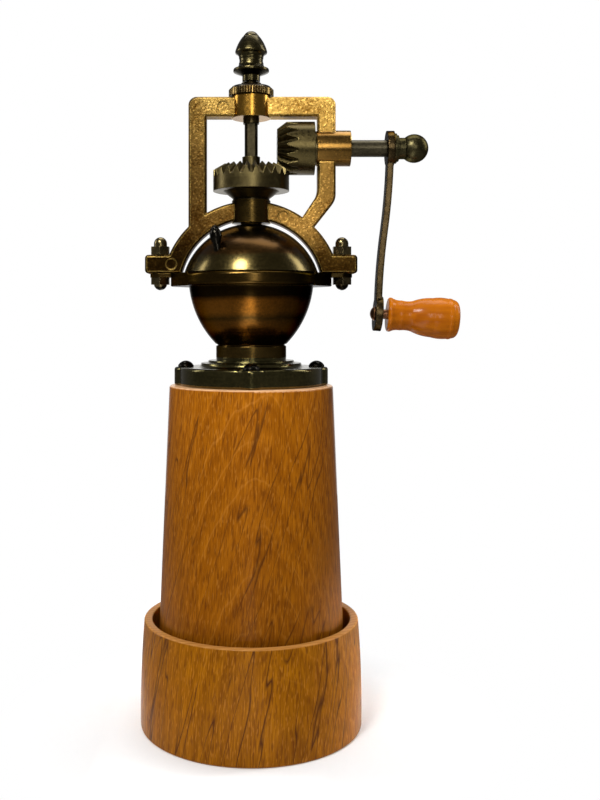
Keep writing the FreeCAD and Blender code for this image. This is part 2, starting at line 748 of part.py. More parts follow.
plate = extrude(gear_frame, "plate", frame_sketch, "frame_thickness", symmetric=True)
doc.recompute()
face_edges = [
    f"Edge{number}" for number, edge in enumerate(plate.Shape.Edges, 1)
    if edge.BoundBox.YLength < value("frame_thickness") / 2
]
softened = gear_frame.newObject("PartDesign::Chamfer", "gear_frame_softened")
softened.Base = (plate, face_edges)
bind(softened, "Size", "frame_bevel")
revolve(gear_frame, "lower_boss", [
    ("0", RETAINER_FOOT),
    (PIVOT_RADIUS, RETAINER_FOOT),
    (PIVOT_RADIUS, BOSS_FOOT),
    ("boss_radius", BOSS_FOOT),
    ("boss_radius", BOSS_TOP),
    ("0", BOSS_TOP),
])
revolve(gear_frame, "top_boss", [
    ("0", f"{BAR_FOOT} - boss_step"),
    ("boss_radius", f"{BAR_FOOT} - boss_step"),
    ("boss_radius", BOSS_CAP),
    ("0", BOSS_CAP),
])
crank_boss_sketch = new_sketch(gear_frame, "crank_boss_circle", "YZ_Plane", CRANK_FACE)
circle(crank_boss_sketch, "0", SHAFT_Z, "crank_boss_radius")
extrude(gear_frame, "crank_boss", crank_boss_sketch, "crank_boss_length")
spindle_bore_sketch = new_sketch(gear_frame, "spindle_bore_circle", "XY_Plane", BOSS_CAP)
circle(spindle_bore_sketch, "0", "0", f"{BUSH_RADIUS} + fit")
extrude(gear_frame, "spindle_bore", spindle_bore_sketch, f"{BOSS_CAP} - {RETAINER_FOOT} + slip", "Pocket")
crank_bore_sketch = new_sketch(gear_frame, "crank_bore_circle", "YZ_Plane", BOSS_END)
circle(crank_bore_sketch, "0", SHAFT_Z, f"{CRANK_BUSH_RADIUS} + fit")
extrude(gear_frame, "crank_bore", crank_bore_sketch, "crank_boss_length + slip", "Pocket")
ear_hole_sketch = new_sketch(gear_frame, "ear_hole_circle", "XY_Plane", EAR_TOP)
circle(ear_hole_sketch, BOLT_X, "0", "bolt_radius + fit")
ear_hole = extrude(gear_frame, "ear_hole", ear_hole_sketch, "ear_height + slip", "Pocket")
around(gear_frame, [ear_hole], "lug_count")
mark_sketch = new_sketch(gear_frame, "mark_circles", "XZ_Plane", "frame_thickness / 2")
circle(mark_sketch, "bar_mark_x", f"{BAR_FOOT} + bar_height / 2", "mark_radius")
circle(mark_sketch, "ear_mark_x", f"{EAR_TOP} - ear_height / 2", "mark_radius")
circle(mark_sketch, "arch_mark_x",
       f"{ARCH_Z} + sqrt(({ARCH_IN} + frame_band / 2) ^ 2 - arch_mark_x ^ 2)", "mark_radius")
extrude(gear_frame, "marks", mark_sketch, "mark_depth", "Pocket")


def sleeve(label, bore, radius, foot, top):
    """A plain turned ring."""
    return lathe(label, [(bore, foot), (radius, foot), (radius, top), (bore, top)])


sleeve("lower_bush", SPINDLE_BORE, BUSH_RADIUS, RETAINER_FOOT, BOSS_TOP)
sleeve("top_bush", SPINDLE_BORE, BUSH_RADIUS, f"{BAR_FOOT} - bush_reach", BOSS_CAP)
crank_bush = sleeve("crank_bush", CRANK_BORE, CRANK_BUSH_RADIUS, CRANK_FACE, BOSS_END)
along_x(crank_bush)
sleeve("hatch_retainer", PIVOT_RADIUS, RETAINER_RADIUS, RETAINER_FOOT, RETAINER_TOP)
sleeve("gear_washer", f"{SPINDLE_BORE} + slip", "boss_radius - slip", BOSS_TOP, GEAR_FOOT)


# Dome: a fixed rear half and a hatch that turns over it about the pivot.
def dome_height(radius, offset):
    """Height of a dome of this radius at a distance from the spindle's axis."""
    return f"({DOME_Z} + sqrt(({radius}) ^ 2 - ({offset}) ^ 2))"


def half_dome(label, outer, foot, angle, heading):
    """Half of a dome shell with a full eye round the pivot, its middle facing the heading."""
    inner = f"({outer} - dome_wall)"
    body = new_body(label)
    revolve(body, "eye", [
        (EYE_BORE, dome_height(inner, EYE_BORE)),
        (EYE_RADIUS, dome_height(inner, EYE_RADIUS), inner, -1),
        (EYE_RADIUS, dome_height(outer, EYE_RADIUS)),
        (EYE_BORE, dome_height(outer, EYE_BORE), outer, 1),
    ])
    shell = revolve(body, "shell", [
        (f"sqrt({inner} ^ 2 - ({foot} - {DOME_Z}) ^ 2)", foot, inner, -1),
        (f"sqrt(({outer}) ^ 2 - ({foot} - {DOME_Z}) ^ 2)", foot),
        (EYE_RADIUS, dome_height(outer, EYE_RADIUS), outer, 1),
        (EYE_RADIUS, dome_height(inner, EYE_RADIUS)),
    ], angle)
    shell.Midplane = True
    body.Placement = FreeCAD.Placement(FreeCAD.Vector(0, 0, 0),
                                       FreeCAD.Rotation(FreeCAD.Vector(0, 0, 1), heading))
    return body


half_dome("dome_cover", COVER_RADIUS, RIM_TOP, "180", 90)
half_dome("hatch", "dome_radius", f"({RIM_TOP} + slip)", "180 + 2 * dome_lap", -90)

knob_turned = lathe("hatch_knob_turned", [
    ("0", "-knob_stem * 2"),
    ("knob_stem", "-knob_stem * 2"),
    ("knob_stem", "knob_stem"),
    ("knob_radius", "knob_belly_at", swell("knob_radius - knob_stem", "knob_belly_at - knob_stem"), 1),
    ("knob_stem", "knob_height - knob_stem",
     swell("knob_radius - knob_stem", "knob_height - knob_stem - knob_belly_at"), 1),
    ("0", "knob_height", "knob_stem", 1),
])
knob_turned.Placement = FreeCAD.Placement(
    FreeCAD.Vector(0, 0, 0), FreeCAD.Rotation(FreeCAD.Vector(0, -1, 0), value("knob_lean")))
bind(knob_turned, "Placement.Base.x", "knob_offset * cos(knob_azimuth)")
bind(knob_turned, "Placement.Base.y", "knob_offset * sin(knob_azimuth)")
bind(knob_turned, "Placement.Base.z", dome_height("dome_radius", "knob_offset"))
dome_ball = doc.addObject("Part::Sphere", "dome_ball")
bind(dome_ball, "Radius", "dome_radius")
bind(dome_ball, "Placement.Base.z", DOME_Z)
hatch_knob = doc.addObject("Part::Cut", "hatch_knob")
hatch_knob.Base = knob_turned
hatch_knob.Tool = dome_ball


# Bevel gears: tooth gaps are straight-sided wedges that all run to the common cone apex.
def tooth_gap(body, own, mate, apex, sign):
    """Cut one gap at the body's +X side; own and mate are the two pitch radii."""
    pitch_slope = f"({mate} / {own})"
    root_slope = f"tan(atan({mate} / {own}) + atan(dedendum / {CONE}))"
    flank = f"(tan(pressure_angle) * {own} / {CONE})"
    sections = []
    for name, reach in (("near", "gap_start"), ("far", "gap_end")):
        x = f"({own} * {reach})"
        half_gap = f"(tooth_gap_share * pi * tooth_module / 2 * {reach})"
        depth = f"({x} * ({root_slope} - {pitch_slope}))"
        rise = f"({x} * {pitch_slope} / 2)"
        root = f"({half_gap} - {flank} * {depth})"
        mouth = f"({half_gap} + {flank} * {rise})"
        root_z = f"{apex} {sign} {x} * {root_slope}"
        mouth_z = f"{apex} {sign} ({x} * {pitch_slope} - {rise})"
        sketch = new_sketch(body, f"gap_{name}", "YZ_Plane", x)
        outline(sketch, [(f"-{root}", root_z), (root, root_z), (mouth, mouth_z), (f"-{mouth}", mouth_z)])
        sections.append(sketch)
    return cut_loft(body, "gap", sections)


def tip_radius(own, mate):
    """Largest radius over the teeth."""
    return f"({own} + addendum * {mate} / {CONE})"


def tip_reach(own, mate):
    """Distance along the axis from the cone apex to the teeth's largest circle."""
    return f"({mate} - addendum * {own} / {CONE})"


FACE = f"(({CONE} - tooth_face) / {CONE})"
GEAR_TIP = tip_radius(GEAR_PITCH, PINION_PITCH)
GEAR_REACH = tip_reach(GEAR_PITCH, PINION_PITCH)
GEAR_RIM_FOOT = f"({GEAR_FOOT} + gear_hub_drop)"
GEAR_WEB = f"({SHAFT_Z} - {GEAR_REACH} * {FACE} - gear_web_sink)"
drive_gear = lathe("drive_gear", [
    ("0", GEAR_FOOT),
    ("gear_hub_radius", GEAR_FOOT),
    (f"{GEAR_TIP} - gear_rim", GEAR_RIM_FOOT),
    (GEAR_TIP, GEAR_RIM_FOOT),
    (GEAR_TIP, f"{SHAFT_Z} - {GEAR_REACH}"),
    (f"{GEAR_TIP} * {FACE}", f"{SHAFT_Z} - {GEAR_REACH} * {FACE}"),
    (f"{GEAR_TIP} * {FACE} - gear_web_sink / 2", GEAR_WEB),
    ("gear_boss_radius", GEAR_WEB),
    ("gear_boss_radius", f"{GEAR_WEB} + gear_boss_rise"),
    ("0", f"{GEAR_WEB} + gear_boss_rise"),
])
gear_gap = tooth_gap(drive_gear, GEAR_PITCH, PINION_PITCH, SHAFT_Z, "-")
around(drive_gear, [gear_gap], "gear_teeth")
gear_bore_sketch = new_sketch(drive_gear, "bore_outline", "XY_Plane", f"{GEAR_WEB} + gear_boss_rise")
double_d(gear_bore_sketch, SPINDLE_BORE, "(spindle_flats / 2 + fit)")
extrude(drive_gear, "bore", gear_bore_sketch, f"{GEAR_WEB} + gear_boss_rise - {GEAR_FOOT} + slip", "Pocket")

PINION_TIP = tip_radius(PINION_PITCH, GEAR_PITCH)
PINION_REACH = tip_reach(PINION_PITCH, GEAR_PITCH)
PINION_FRONT = f"({PINION_REACH} * {FACE})"
pinion = lathe("pinion", [
    ("crank_radius", PINION_FRONT),
    (f"{PINION_TIP} * {FACE}", PINION_FRONT),
    (PINION_TIP, PINION_REACH),
    (PINION_TIP, PINION_BACK),
    ("crank_radius", PINION_BACK),
])
pinion_gap = tooth_gap(pinion, PINION_PITCH, GEAR_PITCH, "0", "+")
around(pinion, [pinion_gap], "pinion_teeth")
along_x(pinion, value("180 / pinion_teeth"))
crank_washer = sleeve("crank_washer", f"{CRANK_BORE}", "crank_boss_radius - slip", PINION_BACK, CRANK_FACE)
along_x(crank_washer)

# Upright spindle, with the grind adjustment at its top.
STATOR_FOOT = f"({STATOR_TOP} - stator_height)"
ROTOR_FOOT = f"({STATOR_FOOT} - rotor_drop)"
ROTOR_TOP = f"({ROTOR_FOOT} + burr_height)"
COLLAR_END = f"({ROTOR_TOP} + collar_thickness)"
SPINDLE_FOOT = f"({ROTOR_FOOT} - spindle_tail)"
THREAD_FOOT = f"({BOSS_CAP} - thread_lead)"
DISC_FOOT = f"({BOSS_CAP} + disc_gap)"
SPINDLE_TOP = f"({BOSS_CAP} + spindle_tip)"
spindle = lathe("spindle", [
    ("0", SPINDLE_FOOT),
    ("spindle_thread", SPINDLE_FOOT),
    ("spindle_thread", ROTOR_FOOT),
    ("spindle_radius", ROTOR_FOOT),
    ("spindle_radius", ROTOR_TOP),
    ("spindle_collar", ROTOR_TOP),
    ("spindle_collar", COLLAR_END),
    ("spindle_radius", COLLAR_END),
    ("spindle_radius", THREAD_FOOT),
    ("spindle_thread", THREAD_FOOT),
    ("spindle_thread", SPINDLE_TOP),
    ("0", SPINDLE_TOP),
])
flat_sketch = new_sketch(spindle, "flat_outline", "XY_Plane", THREAD_FOOT)
outline(flat_sketch, [
    ("spindle_radius * 2", "spindle_flats / 2"),
    ("spindle_radius * 2", "spindle_radius * 2"),
    ("-spindle_radius * 2", "spindle_radius * 2"),
    ("-spindle_radius * 2", "spindle_flats / 2"),
])
flat = extrude(spindle, "flat", flat_sketch, f"{THREAD_FOOT} - {BOSS_TOP} + slip", "Pocket")
around(spindle, [flat], "2")

THREAD_BORE = "(spindle_thread + fit)"
DISC_TOP = f"({DISC_FOOT} + disc_thickness)"
HUB_TOP = f"({DISC_TOP} + hub_height)"
adjusting_nut = lathe("adjusting_nut", [
    (THREAD_BORE, DISC_FOOT),
    ("disc_radius", DISC_FOOT),
    ("disc_radius", f"{DISC_TOP} - disc_chamfer"),
    ("disc_radius - disc_chamfer", DISC_TOP),
    ("hub_radius", DISC_TOP),
    ("hub_radius", HUB_TOP),
    (THREAD_BORE, HUB_TOP),
])
knurl_sketch = new_sketch(adjusting_nut, "knurl_outline", "XY_Plane", DISC_TOP)
outline(knurl_sketch, [
    ("disc_radius - knurl_depth", "0"),
    ("disc_radius + knurl_depth", "-knurl_width / 2"),
    ("disc_radius + knurl_depth", "knurl_width / 2"),
])
knurl = extrude(adjusting_nut, "knurl", knurl_sketch, "disc_thickness + slip", "Pocket")
around(adjusting_nut, [knurl], "knurl_count")

FINIAL_FOOT = f"({HUB_TOP} + finial_gap)"
FINIAL_NECK = f"({FINIAL_FOOT} + finial_neck_height)"
FINIAL_DISC = f"({FINIAL_FOOT} + finial_disc_at)"
FINIAL_WAIST = f"({FINIAL_FOOT} + finial_waist_at)"
WAIST_TOP = f"({FINIAL_WAIST} + finial_waist_height)"
FINIAL_RIDGE = f"({FINIAL_FOOT} + finial_ridge_at)"
RIDGE_TOP = f"({FINIAL_RIDGE} + finial_ridge)"
FINIAL_BUTTON = f"({FINIAL_FOOT} + finial_button_at)"
FINIAL_TOP = f"({FINIAL_FOOT} + finial_height)"
OGIVE_RUN = "(finial_button_at - finial_ridge_at - finial_ridge)"
lathe("finial", [
    (THREAD_BORE, FINIAL_FOOT),
    ("finial_neck", FINIAL_FOOT),
    ("finial_neck", FINIAL_NECK),
    ("finial_disc", FINIAL_DISC),
    ("finial_disc", f"{FINIAL_DISC} + finial_disc_height"),
    ("finial_waist", FINIAL_WAIST,
     swell("finial_disc - finial_waist", "finial_waist_at - finial_disc_at - finial_disc_height"), -1),
    ("finial_waist", WAIST_TOP),
    ("finial_radius", FINIAL_RIDGE,
     swell("finial_radius - finial_waist", "finial_ridge_at - finial_waist_at - finial_waist_height"), -1),
    ("finial_radius", RIDGE_TOP),
    ("finial_shoulder", FINIAL_BUTTON,
     f"finial_ogive * {swell('finial_radius - finial_shoulder', OGIVE_RUN)}", 1),
    ("finial_button", FINIAL_BUTTON),
    ("finial_button", f"{FINIAL_TOP} - finial_crown"),
    ("0", FINIAL_TOP, swell("finial_crown", "finial_button"), 1),
    ("0", f"{SPINDLE_TOP} + slip"),
    (THREAD_BORE, f"{SPINDLE_TOP} + slip"),
])

# Grinder: guide in the neck, fixed toothed ring and turning toothed cone.
shaft_guide = new_body("shaft_guide")
GUIDE_RIM = f"({GUIDE_RADIUS} - fit)"
GUIDE_BORE = f"({GUIDE_RIM} - guide_ring)"
revolve(shaft_guide, "ring", [
    (GUIDE_BORE, GUIDE_FOOT), (GUIDE_RIM, GUIDE_FOOT), (GUIDE_RIM, NECK_TOP), (GUIDE_BORE, NECK_TOP),
])
arm_sketch = new_sketch(shaft_guide, "arm_outline", "XY_Plane", GUIDE_FOOT)
outline(arm_sketch, [
    ("(spindle_radius + guide_hub) / 2", "-guide_arm / 2"),
    (f"{GUIDE_BORE} + guide_ring / 2", "-guide_arm / 2"),
    (f"{GUIDE_BORE} + guide_ring / 2", "guide_arm / 2"),
    ("(spindle_radius + guide_hub) / 2", "guide_arm / 2"),
])
guide_arm = extrude(shaft_guide, "arm", arm_sketch, "guide_recess")
around(shaft_guide, [guide_arm], "guide_arms")
revolve(shaft_guide, "hub", [
    (SPINDLE_BORE, GUIDE_FOOT), ("guide_hub", GUIDE_FOOT), ("guide_hub", NECK_TOP), (SPINDLE_BORE, NECK_TOP),
])


def burr_groove(body, sections, count):
    """Cut a three-sided groove between two levels, each (height, root, mouth), and repeat it."""
    sketches = []
    for index, (height, root, mouth) in enumerate(sections):
        sketch = new_sketch(body, f"groove_{index}", "XY_Plane", height)
        outline(sketch, [(root, "0"), (mouth, "-burr_tooth_depth"), (mouth, "burr_tooth_depth")])
        sketches.append(sketch)
    around(body, [cut_loft(body, "groove", sketches)], count)


STATOR_BORE = "(rotor_radius + burr_gap)"
STATOR_MOUTH = f"({STATOR_BORE} + stator_flare)"
stator_burr = lathe("stator_burr", [
    (STATOR_BORE, STATOR_FOOT),
    (STATOR_RADIUS, STATOR_FOOT),
    (STATOR_RADIUS, STATOR_TOP),
    (STATOR_MOUTH, STATOR_TOP),
])
burr_groove(stator_burr, [
    (f"{STATOR_FOOT} - slip", f"{STATOR_BORE} + burr_tooth_depth / 2", f"{STATOR_BORE} - burr_tooth_depth"),
    (f"{STATOR_TOP} + slip", f"{STATOR_MOUTH} + burr_tooth_depth", f"{STATOR_MOUTH} - burr_tooth_depth"),
], "stator_teeth")

rotor_burr = lathe("rotor_burr", [
    ("spindle_radius + fit", ROTOR_FOOT),
    ("rotor_radius", ROTOR_FOOT),
    ("rotor_radius", f"{ROTOR_FOOT} + burr_land"),
    ("burr_top_radius", ROTOR_TOP),
    ("spindle_radius + fit", ROTOR_TOP),
])
burr_groove(rotor_burr, [
    (f"{ROTOR_FOOT} - slip", "rotor_radius - burr_tooth_depth / 2", "rotor_radius + burr_tooth_depth"),
    (f"{ROTOR_TOP} + slip", "burr_top_radius - burr_tooth_depth", "burr_top_radius + burr_tooth_depth"),
], "burr_teeth")

WASHER_FOOT = f"({ROTOR_FOOT} - burr_washer)"
sleeve("burr_washer", THREAD_BORE, "nut_flats / 2 + slip", WASHER_FOOT, ROTOR_FOOT)
burr_nut = new_body("burr_nut")
burr_nut_sketch = new_sketch(burr_nut, "outline", "XY_Plane", f"{WASHER_FOOT} - burr_nut_height")
hexagon(burr_nut_sketch, "0", "nut_flats")
circle(burr_nut_sketch, "0", "0", THREAD_BORE)
extrude(burr_nut, "hexagon", burr_nut_sketch, "burr_nut_height")

# Crank shaft with a square seat for the arm, and the ball that holds the arm on.
NUT_X = f"({ARM_X} + upper_eye)"
CRANK_END = f"({NUT_X} + crank_tip)"
crank_shaft = lathe("crank_shaft", [
    ("0", PINION_FRONT),
    ("crank_radius", PINION_FRONT),
    ("crank_radius", ARM_X),
    ("crank_thread", ARM_X),
    ("crank_thread", CRANK_END),
    ("0", CRANK_END),
])


def square(sketch, half):
    """A square about the sketch's origin."""
    outline(sketch, [(half, f"-{half}"), (half, half), (f"-{half}", half), (f"-{half}", f"-{half}")])


seat_sketch = new_sketch(crank_shaft, "seat_outline", "XY_Plane", ARM_X)
square(seat_sketch, "(crank_square / 2)")
extrude(crank_shaft, "seat", seat_sketch, "upper_eye - slip")
along_x(crank_shaft)

BALL_X = f"({NUT_X} + ball_reach)"
NUT_BORE = "(crank_thread + fit)"
COLLAR_X = f"({NUT_X} + ball_collar)"
STEP_X = f"({COLLAR_X} + ball_step)"
ball_nut = lathe("ball_nut", [
    (NUT_BORE, NUT_X),
    ("ball_collar_radius", NUT_X),
    ("ball_collar_radius", COLLAR_X),
    ("ball_step_radius", COLLAR_X),
    ("ball_step_radius", STEP_X),
    ("ball_neck", STEP_X),
    ("ball_neck", f"{BALL_X} - sqrt(ball_radius ^ 2 - ball_neck ^ 2)"),
    ("0", f"{BALL_X} + ball_radius", "ball_radius", 1),
    ("0", f"{CRANK_END} + slip"),
    (NUT_BORE, f"{CRANK_END} + slip"),
])
along_x(ball_nut)

# Crank arm: its own Z axis runs up the leaning bar, with the origin in the upper eye.
crank_arm = new_body("crank_arm")
HALF_ARM = "(arm_thickness / 2)"
ARM_MIDDLE = "(arm_reach / 2)"
ARM_CURVE = f"(({ARM_MIDDLE} ^ 2 / 4 + arm_bow ^ 2) / (2 * arm_bow))"
bar_sketch = new_sketch(crank_arm, "bar_outline")
outline(bar_sketch, [
    (HALF_ARM, "0", ARM_CURVE, 1),
    (f"-{HALF_ARM}", "0"),
    (f"-{HALF_ARM}", f"-{ARM_MIDDLE}", ARM_CURVE, -1),
    (f"-{HALF_ARM}", "-arm_reach", ARM_CURVE, 1),
    (HALF_ARM, "-arm_reach"),
    (HALF_ARM, f"-{ARM_MIDDLE}", ARM_CURVE, -1),
])
extrude(crank_arm, "bar", bar_sketch, "arm_width", symmetric=True)
lower_eye_sketch = new_sketch(crank_arm, "lower_eye_circle", "YZ_Plane")
circle(lower_eye_sketch, "0", "-arm_reach", "lower_eye_radius")
extrude(crank_arm, "lower_eye", lower_eye_sketch, "lower_eye", symmetric=True)
lean_back = FreeCAD.Rotation(FreeCAD.Vector(-1, 0, 0), value("arm_lean"))
upper_eye_sketch = new_sketch(crank_arm, "upper_eye_circle", "YZ_Plane")
upper_eye_sketch.AttachmentOffset = FreeCAD.Placement(FreeCAD.Vector(0, 0, 0), lean_back)
circle(upper_eye_sketch, "0", "0", "upper_eye_radius")
extrude(crank_arm, "upper_eye", upper_eye_sketch, "upper_eye", symmetric=True)
square_sketch = new_sketch(crank_arm, "square_outline", "YZ_Plane")
square_sketch.AttachmentOffset = FreeCAD.Placement(FreeCAD.Vector(0, 0, 0), lean_back)
square(square_sketch, "(crank_square / 2 + fit)")
extrude(crank_arm, "square_hole", square_sketch, "upper_eye * 2", "Pocket", symmetric=True)
pin_hole_sketch = new_sketch(crank_arm, "pin_hole_circle", "YZ_Plane")
circle(pin_hole_sketch, "0", "-arm_reach", "pin_radius + fit")
extrude(crank_arm, "pin_hole", pin_hole_sketch, "lower_eye * 2", "Pocket", symmetric=True)
crank_arm.Placement = FreeCAD.Placement(
    FreeCAD.Vector(0, 0, 0), FreeCAD.Rotation(FreeCAD.Vector(0, 1, 0), value("arm_lean")))
bind(crank_arm, "Placement.Base.x", f"{ARM_X} + upper_eye / 2")
bind(crank_arm, "Placement.Base.z", SHAFT_Z)


def on_handle_axis(body):
    """Lay a body's Z axis square to the leaning arm, with its origin in the lower eye."""
    body.Placement = FreeCAD.Placement(
        FreeCAD.Vector(0, 0, 0), FreeCAD.Rotation(FreeCAD.Vector(0, 1, 0), 90 + value("arm_lean")))
    bind(body, "Placement.Base.x", f"{ARM_X} + upper_eye / 2 - arm_reach * sin(arm_lean)")
    bind(body, "Placement.Base.z", f"{SHAFT_Z} - arm_reach * cos(arm_lean)")


# Wooden handle, free to turn on its riveted pin.
HANDLE_FOOT = "(lower_eye / 2 + handle_gap)"
HANDLE_END = f"({HANDLE_FOOT} + handle_length)"
SINK_FLOOR = f"({HANDLE_END} - pin_sink)"
PIN_BORE = "(pin_radius + fit)"


def bend(start, end):
    """Where the way from start to end, each (radius, height), changes from one arc to the other."""
    return tuple(f"({first} + ({last} - {first}) * handle_bend)" for first, last in zip(start, end))


CREST = ("handle_flange", f"({HANDLE_FOOT} + handle_edge)")
WAIST = ("handle_waist", f"({HANDLE_FOOT} + handle_waist_at)")
BELLY = ("handle_belly", f"({HANDLE_FOOT} + handle_belly_at)")
SHOULDER = ("handle_shoulder", f"({HANDLE_END} - handle_end_edge)")
NECK_FALL = "(handle_flange - handle_waist)"
NECK_RUN = "(handle_waist_at - handle_edge)"
BELLY_RISE = "(handle_belly - handle_waist)"
BELLY_RUN = "(handle_belly_at - handle_waist_at)"
handle_knob = lathe("handle_knob", [
    (PIN_BORE, HANDLE_FOOT),
    ("handle_flange - handle_edge", HANDLE_FOOT),
    (*CREST, "handle_edge", 1),
    (*bend(CREST, WAIST), f"handle_bend * {swell(NECK_FALL, NECK_RUN)}", 1),
    (*WAIST, f"(1 - handle_bend) * {swell(NECK_FALL, NECK_RUN)}", -1),
    (*bend(WAIST, BELLY), f"handle_bend * {swell(BELLY_RISE, BELLY_RUN)}", -1),
    (*BELLY, f"(1 - handle_bend) * {swell(BELLY_RISE, BELLY_RUN)}", 1),
    (*SHOULDER, swell("handle_belly - handle_shoulder",
                      "handle_length - handle_end_edge - handle_belly_at"), 1),
    ("handle_shoulder - handle_end_edge", HANDLE_END, "handle_end_edge", 1),
    ("pin_head_radius + slip", HANDLE_END),
    ("pin_head_radius + slip", SINK_FLOOR),
    (PIN_BORE, SINK_FLOOR),
])
on_handle_axis(handle_knob)
PIN_HEAD = f"({SINK_FLOOR} + slip)"
RIVET = "(-lower_eye / 2)"
handle_pin = lathe("handle_pin", [
    ("0", f"{RIVET} - rivet_height"),
    ("rivet_radius", RIVET, swell("rivet_height", "rivet_radius"), 1),
    ("pin_radius", RIVET),
    ("pin_radius", PIN_HEAD),
    ("pin_head_radius", PIN_HEAD),
    ("0", f"{PIN_HEAD} + pin_head", swell("pin_head", "pin_head_radius"), 1),
])
on_handle_axis(handle_pin)

NODES = [item for item in doc.Objects if item.TypeId in ("PartDesign::Body", "Part::Cut")]
NODES.remove(knob_turned)
doc.recompute()
for item in doc.Objects:
    if "Invalid" in item.State or "Error" in item.State:
        raise RuntimeError(f"{item.Label} failed: {item.State}")
for node in NODES:
    if node.Shape.isNull() or not node.Shape.isValid():
        raise RuntimeError(f"{node.Label} has no valid shape")
os.makedirs("parts", exist_ok=True)
for node in NODES:
    node.Shape.exportStep(f"parts/{node.Label}.step")
    print(node.Label, len(node.Shape.Solids), "solid(s)", round(node.Shape.Volume), "mm3")
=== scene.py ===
# %% [markdown]
# # A crank pepper mill
# The mill stands on a pale table: a tapered oak body sits in a small oak catch cup, a dark brass
# bowl holds the peppercorns, and an open cast frame carries two bevel gears and a crank.
# The shapes come from the CAD assembly, already named and already in place. Here the pieces get
# their finishes, and five of them are drawn again as fine surfaces with softer edges.

# %% Load the assembly
import bpy
import bmesh
import json
import math
import numpy as np
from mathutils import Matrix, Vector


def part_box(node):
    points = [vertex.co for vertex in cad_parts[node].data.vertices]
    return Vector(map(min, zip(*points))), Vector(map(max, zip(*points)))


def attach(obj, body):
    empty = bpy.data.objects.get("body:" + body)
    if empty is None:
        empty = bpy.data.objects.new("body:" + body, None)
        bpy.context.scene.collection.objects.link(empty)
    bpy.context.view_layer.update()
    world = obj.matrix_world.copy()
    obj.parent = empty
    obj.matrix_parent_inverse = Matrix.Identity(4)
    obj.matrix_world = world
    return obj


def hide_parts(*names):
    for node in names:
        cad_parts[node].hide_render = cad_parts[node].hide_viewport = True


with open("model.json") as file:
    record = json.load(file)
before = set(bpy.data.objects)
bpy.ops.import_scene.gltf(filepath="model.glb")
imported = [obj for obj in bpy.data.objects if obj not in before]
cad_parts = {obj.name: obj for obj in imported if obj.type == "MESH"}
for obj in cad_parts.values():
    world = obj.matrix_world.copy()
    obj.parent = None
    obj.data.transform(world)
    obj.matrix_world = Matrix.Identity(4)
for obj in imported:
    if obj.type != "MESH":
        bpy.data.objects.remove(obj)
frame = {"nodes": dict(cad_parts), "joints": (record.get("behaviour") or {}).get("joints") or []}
nodes = frame["nodes"]
joints = {joint["name"]: joint for joint in frame["joints"]}
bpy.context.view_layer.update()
print("pieces:", len(nodes), "joints:", len(joints))

# %% [markdown]
# ## Camera
# The photograph was taken from close by, a little below the gears, so the cup's mouth is seen from
# above and the frame from below. The camera stands level; the lens is shifted, not tilted, which
# keeps the upright lines upright.

# %% Camera
EYE_DISTANCE = 0.3898
EYE_HEIGHT = 0.158
eye = bpy.data.cameras.new("camera")
eye.lens = 44.55
eye.shift_x = 0.061
eye.shift_y = -0.1025
camera = bpy.data.objects.new("camera", eye)
camera.location = (0.0, -EYE_DISTANCE, EYE_HEIGHT)
camera.rotation_euler = (math.pi / 2.0, 0.0, 0.0)
bpy.context.scene.collection.objects.link(camera)
bpy.context.scene.camera = camera
bpy.context.scene.view_settings.view_transform = "Standard"
print("camera at", tuple(camera.location))

# %% [markdown]
# ## Node helpers
# A material is a small graph of shader nodes. It can be wired by hand in the Shader Editor; a few
# helpers make the same graph in short lines of code. One makes a node and wires its inputs, and the
# others are the steps that come back in every finish.

# %% Node helpers
def node(tree, kind, settings=None, **inputs):
    """Add a shader node; settings are node properties, inputs are values or output sockets. An input is
    called by its name, with _ for a space, or by its number after _."""
    made = tree.nodes.new("ShaderNode" + kind)
    for key, setting in (settings or {}).items():
        setattr(made, key, setting)
    for key, given in inputs.items():
        socket = made.inputs[int(key[1:]) if key[1:].isdigit() else key.replace("_", " ")]
        if isinstance(given, bpy.types.NodeSocket):
            tree.links.new(given, socket)
        else:
            socket.default_value = given
    return made


def math_node(tree, operation, first, second=0.0):
    """One arithmetic step between two values or sockets."""
    return node(tree, "Math", {"operation": operation}, _0=first, _1=second).outputs[0]


def times(tree, first, second):
    """The product of two values or sockets."""
    return math_node(tree, "MULTIPLY", first, second)


def vector_math(tree, operation, first, second=(0.0, 0.0, 0.0)):
    """One step between two vectors; a length or a dot product comes out as a plain value."""
    made = node(tree, "VectorMath", {"operation": operation}, _0=first, _1=second)
    return made.outputs["Value" if operation in ("LENGTH", "DOT_PRODUCT") else "Vector"]


def part(tree, vector, axis):
    """One part of a vector: 0 is x, 1 is y and 2 is z."""
    return node(tree, "SeparateXYZ", Vector=vector).outputs[axis]


def map_range(tree, value, low, high, at_low=0.0, at_high=1.0, smooth=False):
    """A value that goes from low to high comes out as at_low to at_high, and stays there beyond."""
    settings = {"interpolation_type": "SMOOTHSTEP" if smooth else "LINEAR"}
    made = node(tree, "MapRange", settings, Value=value, From_Min=low, From_Max=high, To_Min=at_low,
                To_Max=at_high)
    return made.outputs[0]


print("node helpers ready")

# %% [markdown]
# ## Colour and pattern helpers
# A pattern has to stay with its piece when the piece moves, so every pattern reads the piece's own
# coordinates. A ramp then turns the pattern into colours, and a mix lays one colour over another.

# %% Colour and pattern helpers
def ramp(tree, factor, stops):
    """A colour ramp over factor; stops are (position, (red, green, blue)) in linear colour."""
    made = node(tree, "ValToRGB", Fac=factor)
    elements = made.color_ramp.elements
    while len(elements) < len(stops):
        elements.new(1.0)
    for element, (position, colour) in zip(elements, stops):
        element.position = position
        element.color = (*colour, 1.0)
    return made.outputs["Color"]


def grey_ramp(tree, factor, stops):
    """A ramp of plain greys; stops are (position, share)."""
    return ramp(tree, factor, [(position, (share, share, share)) for position, share in stops])


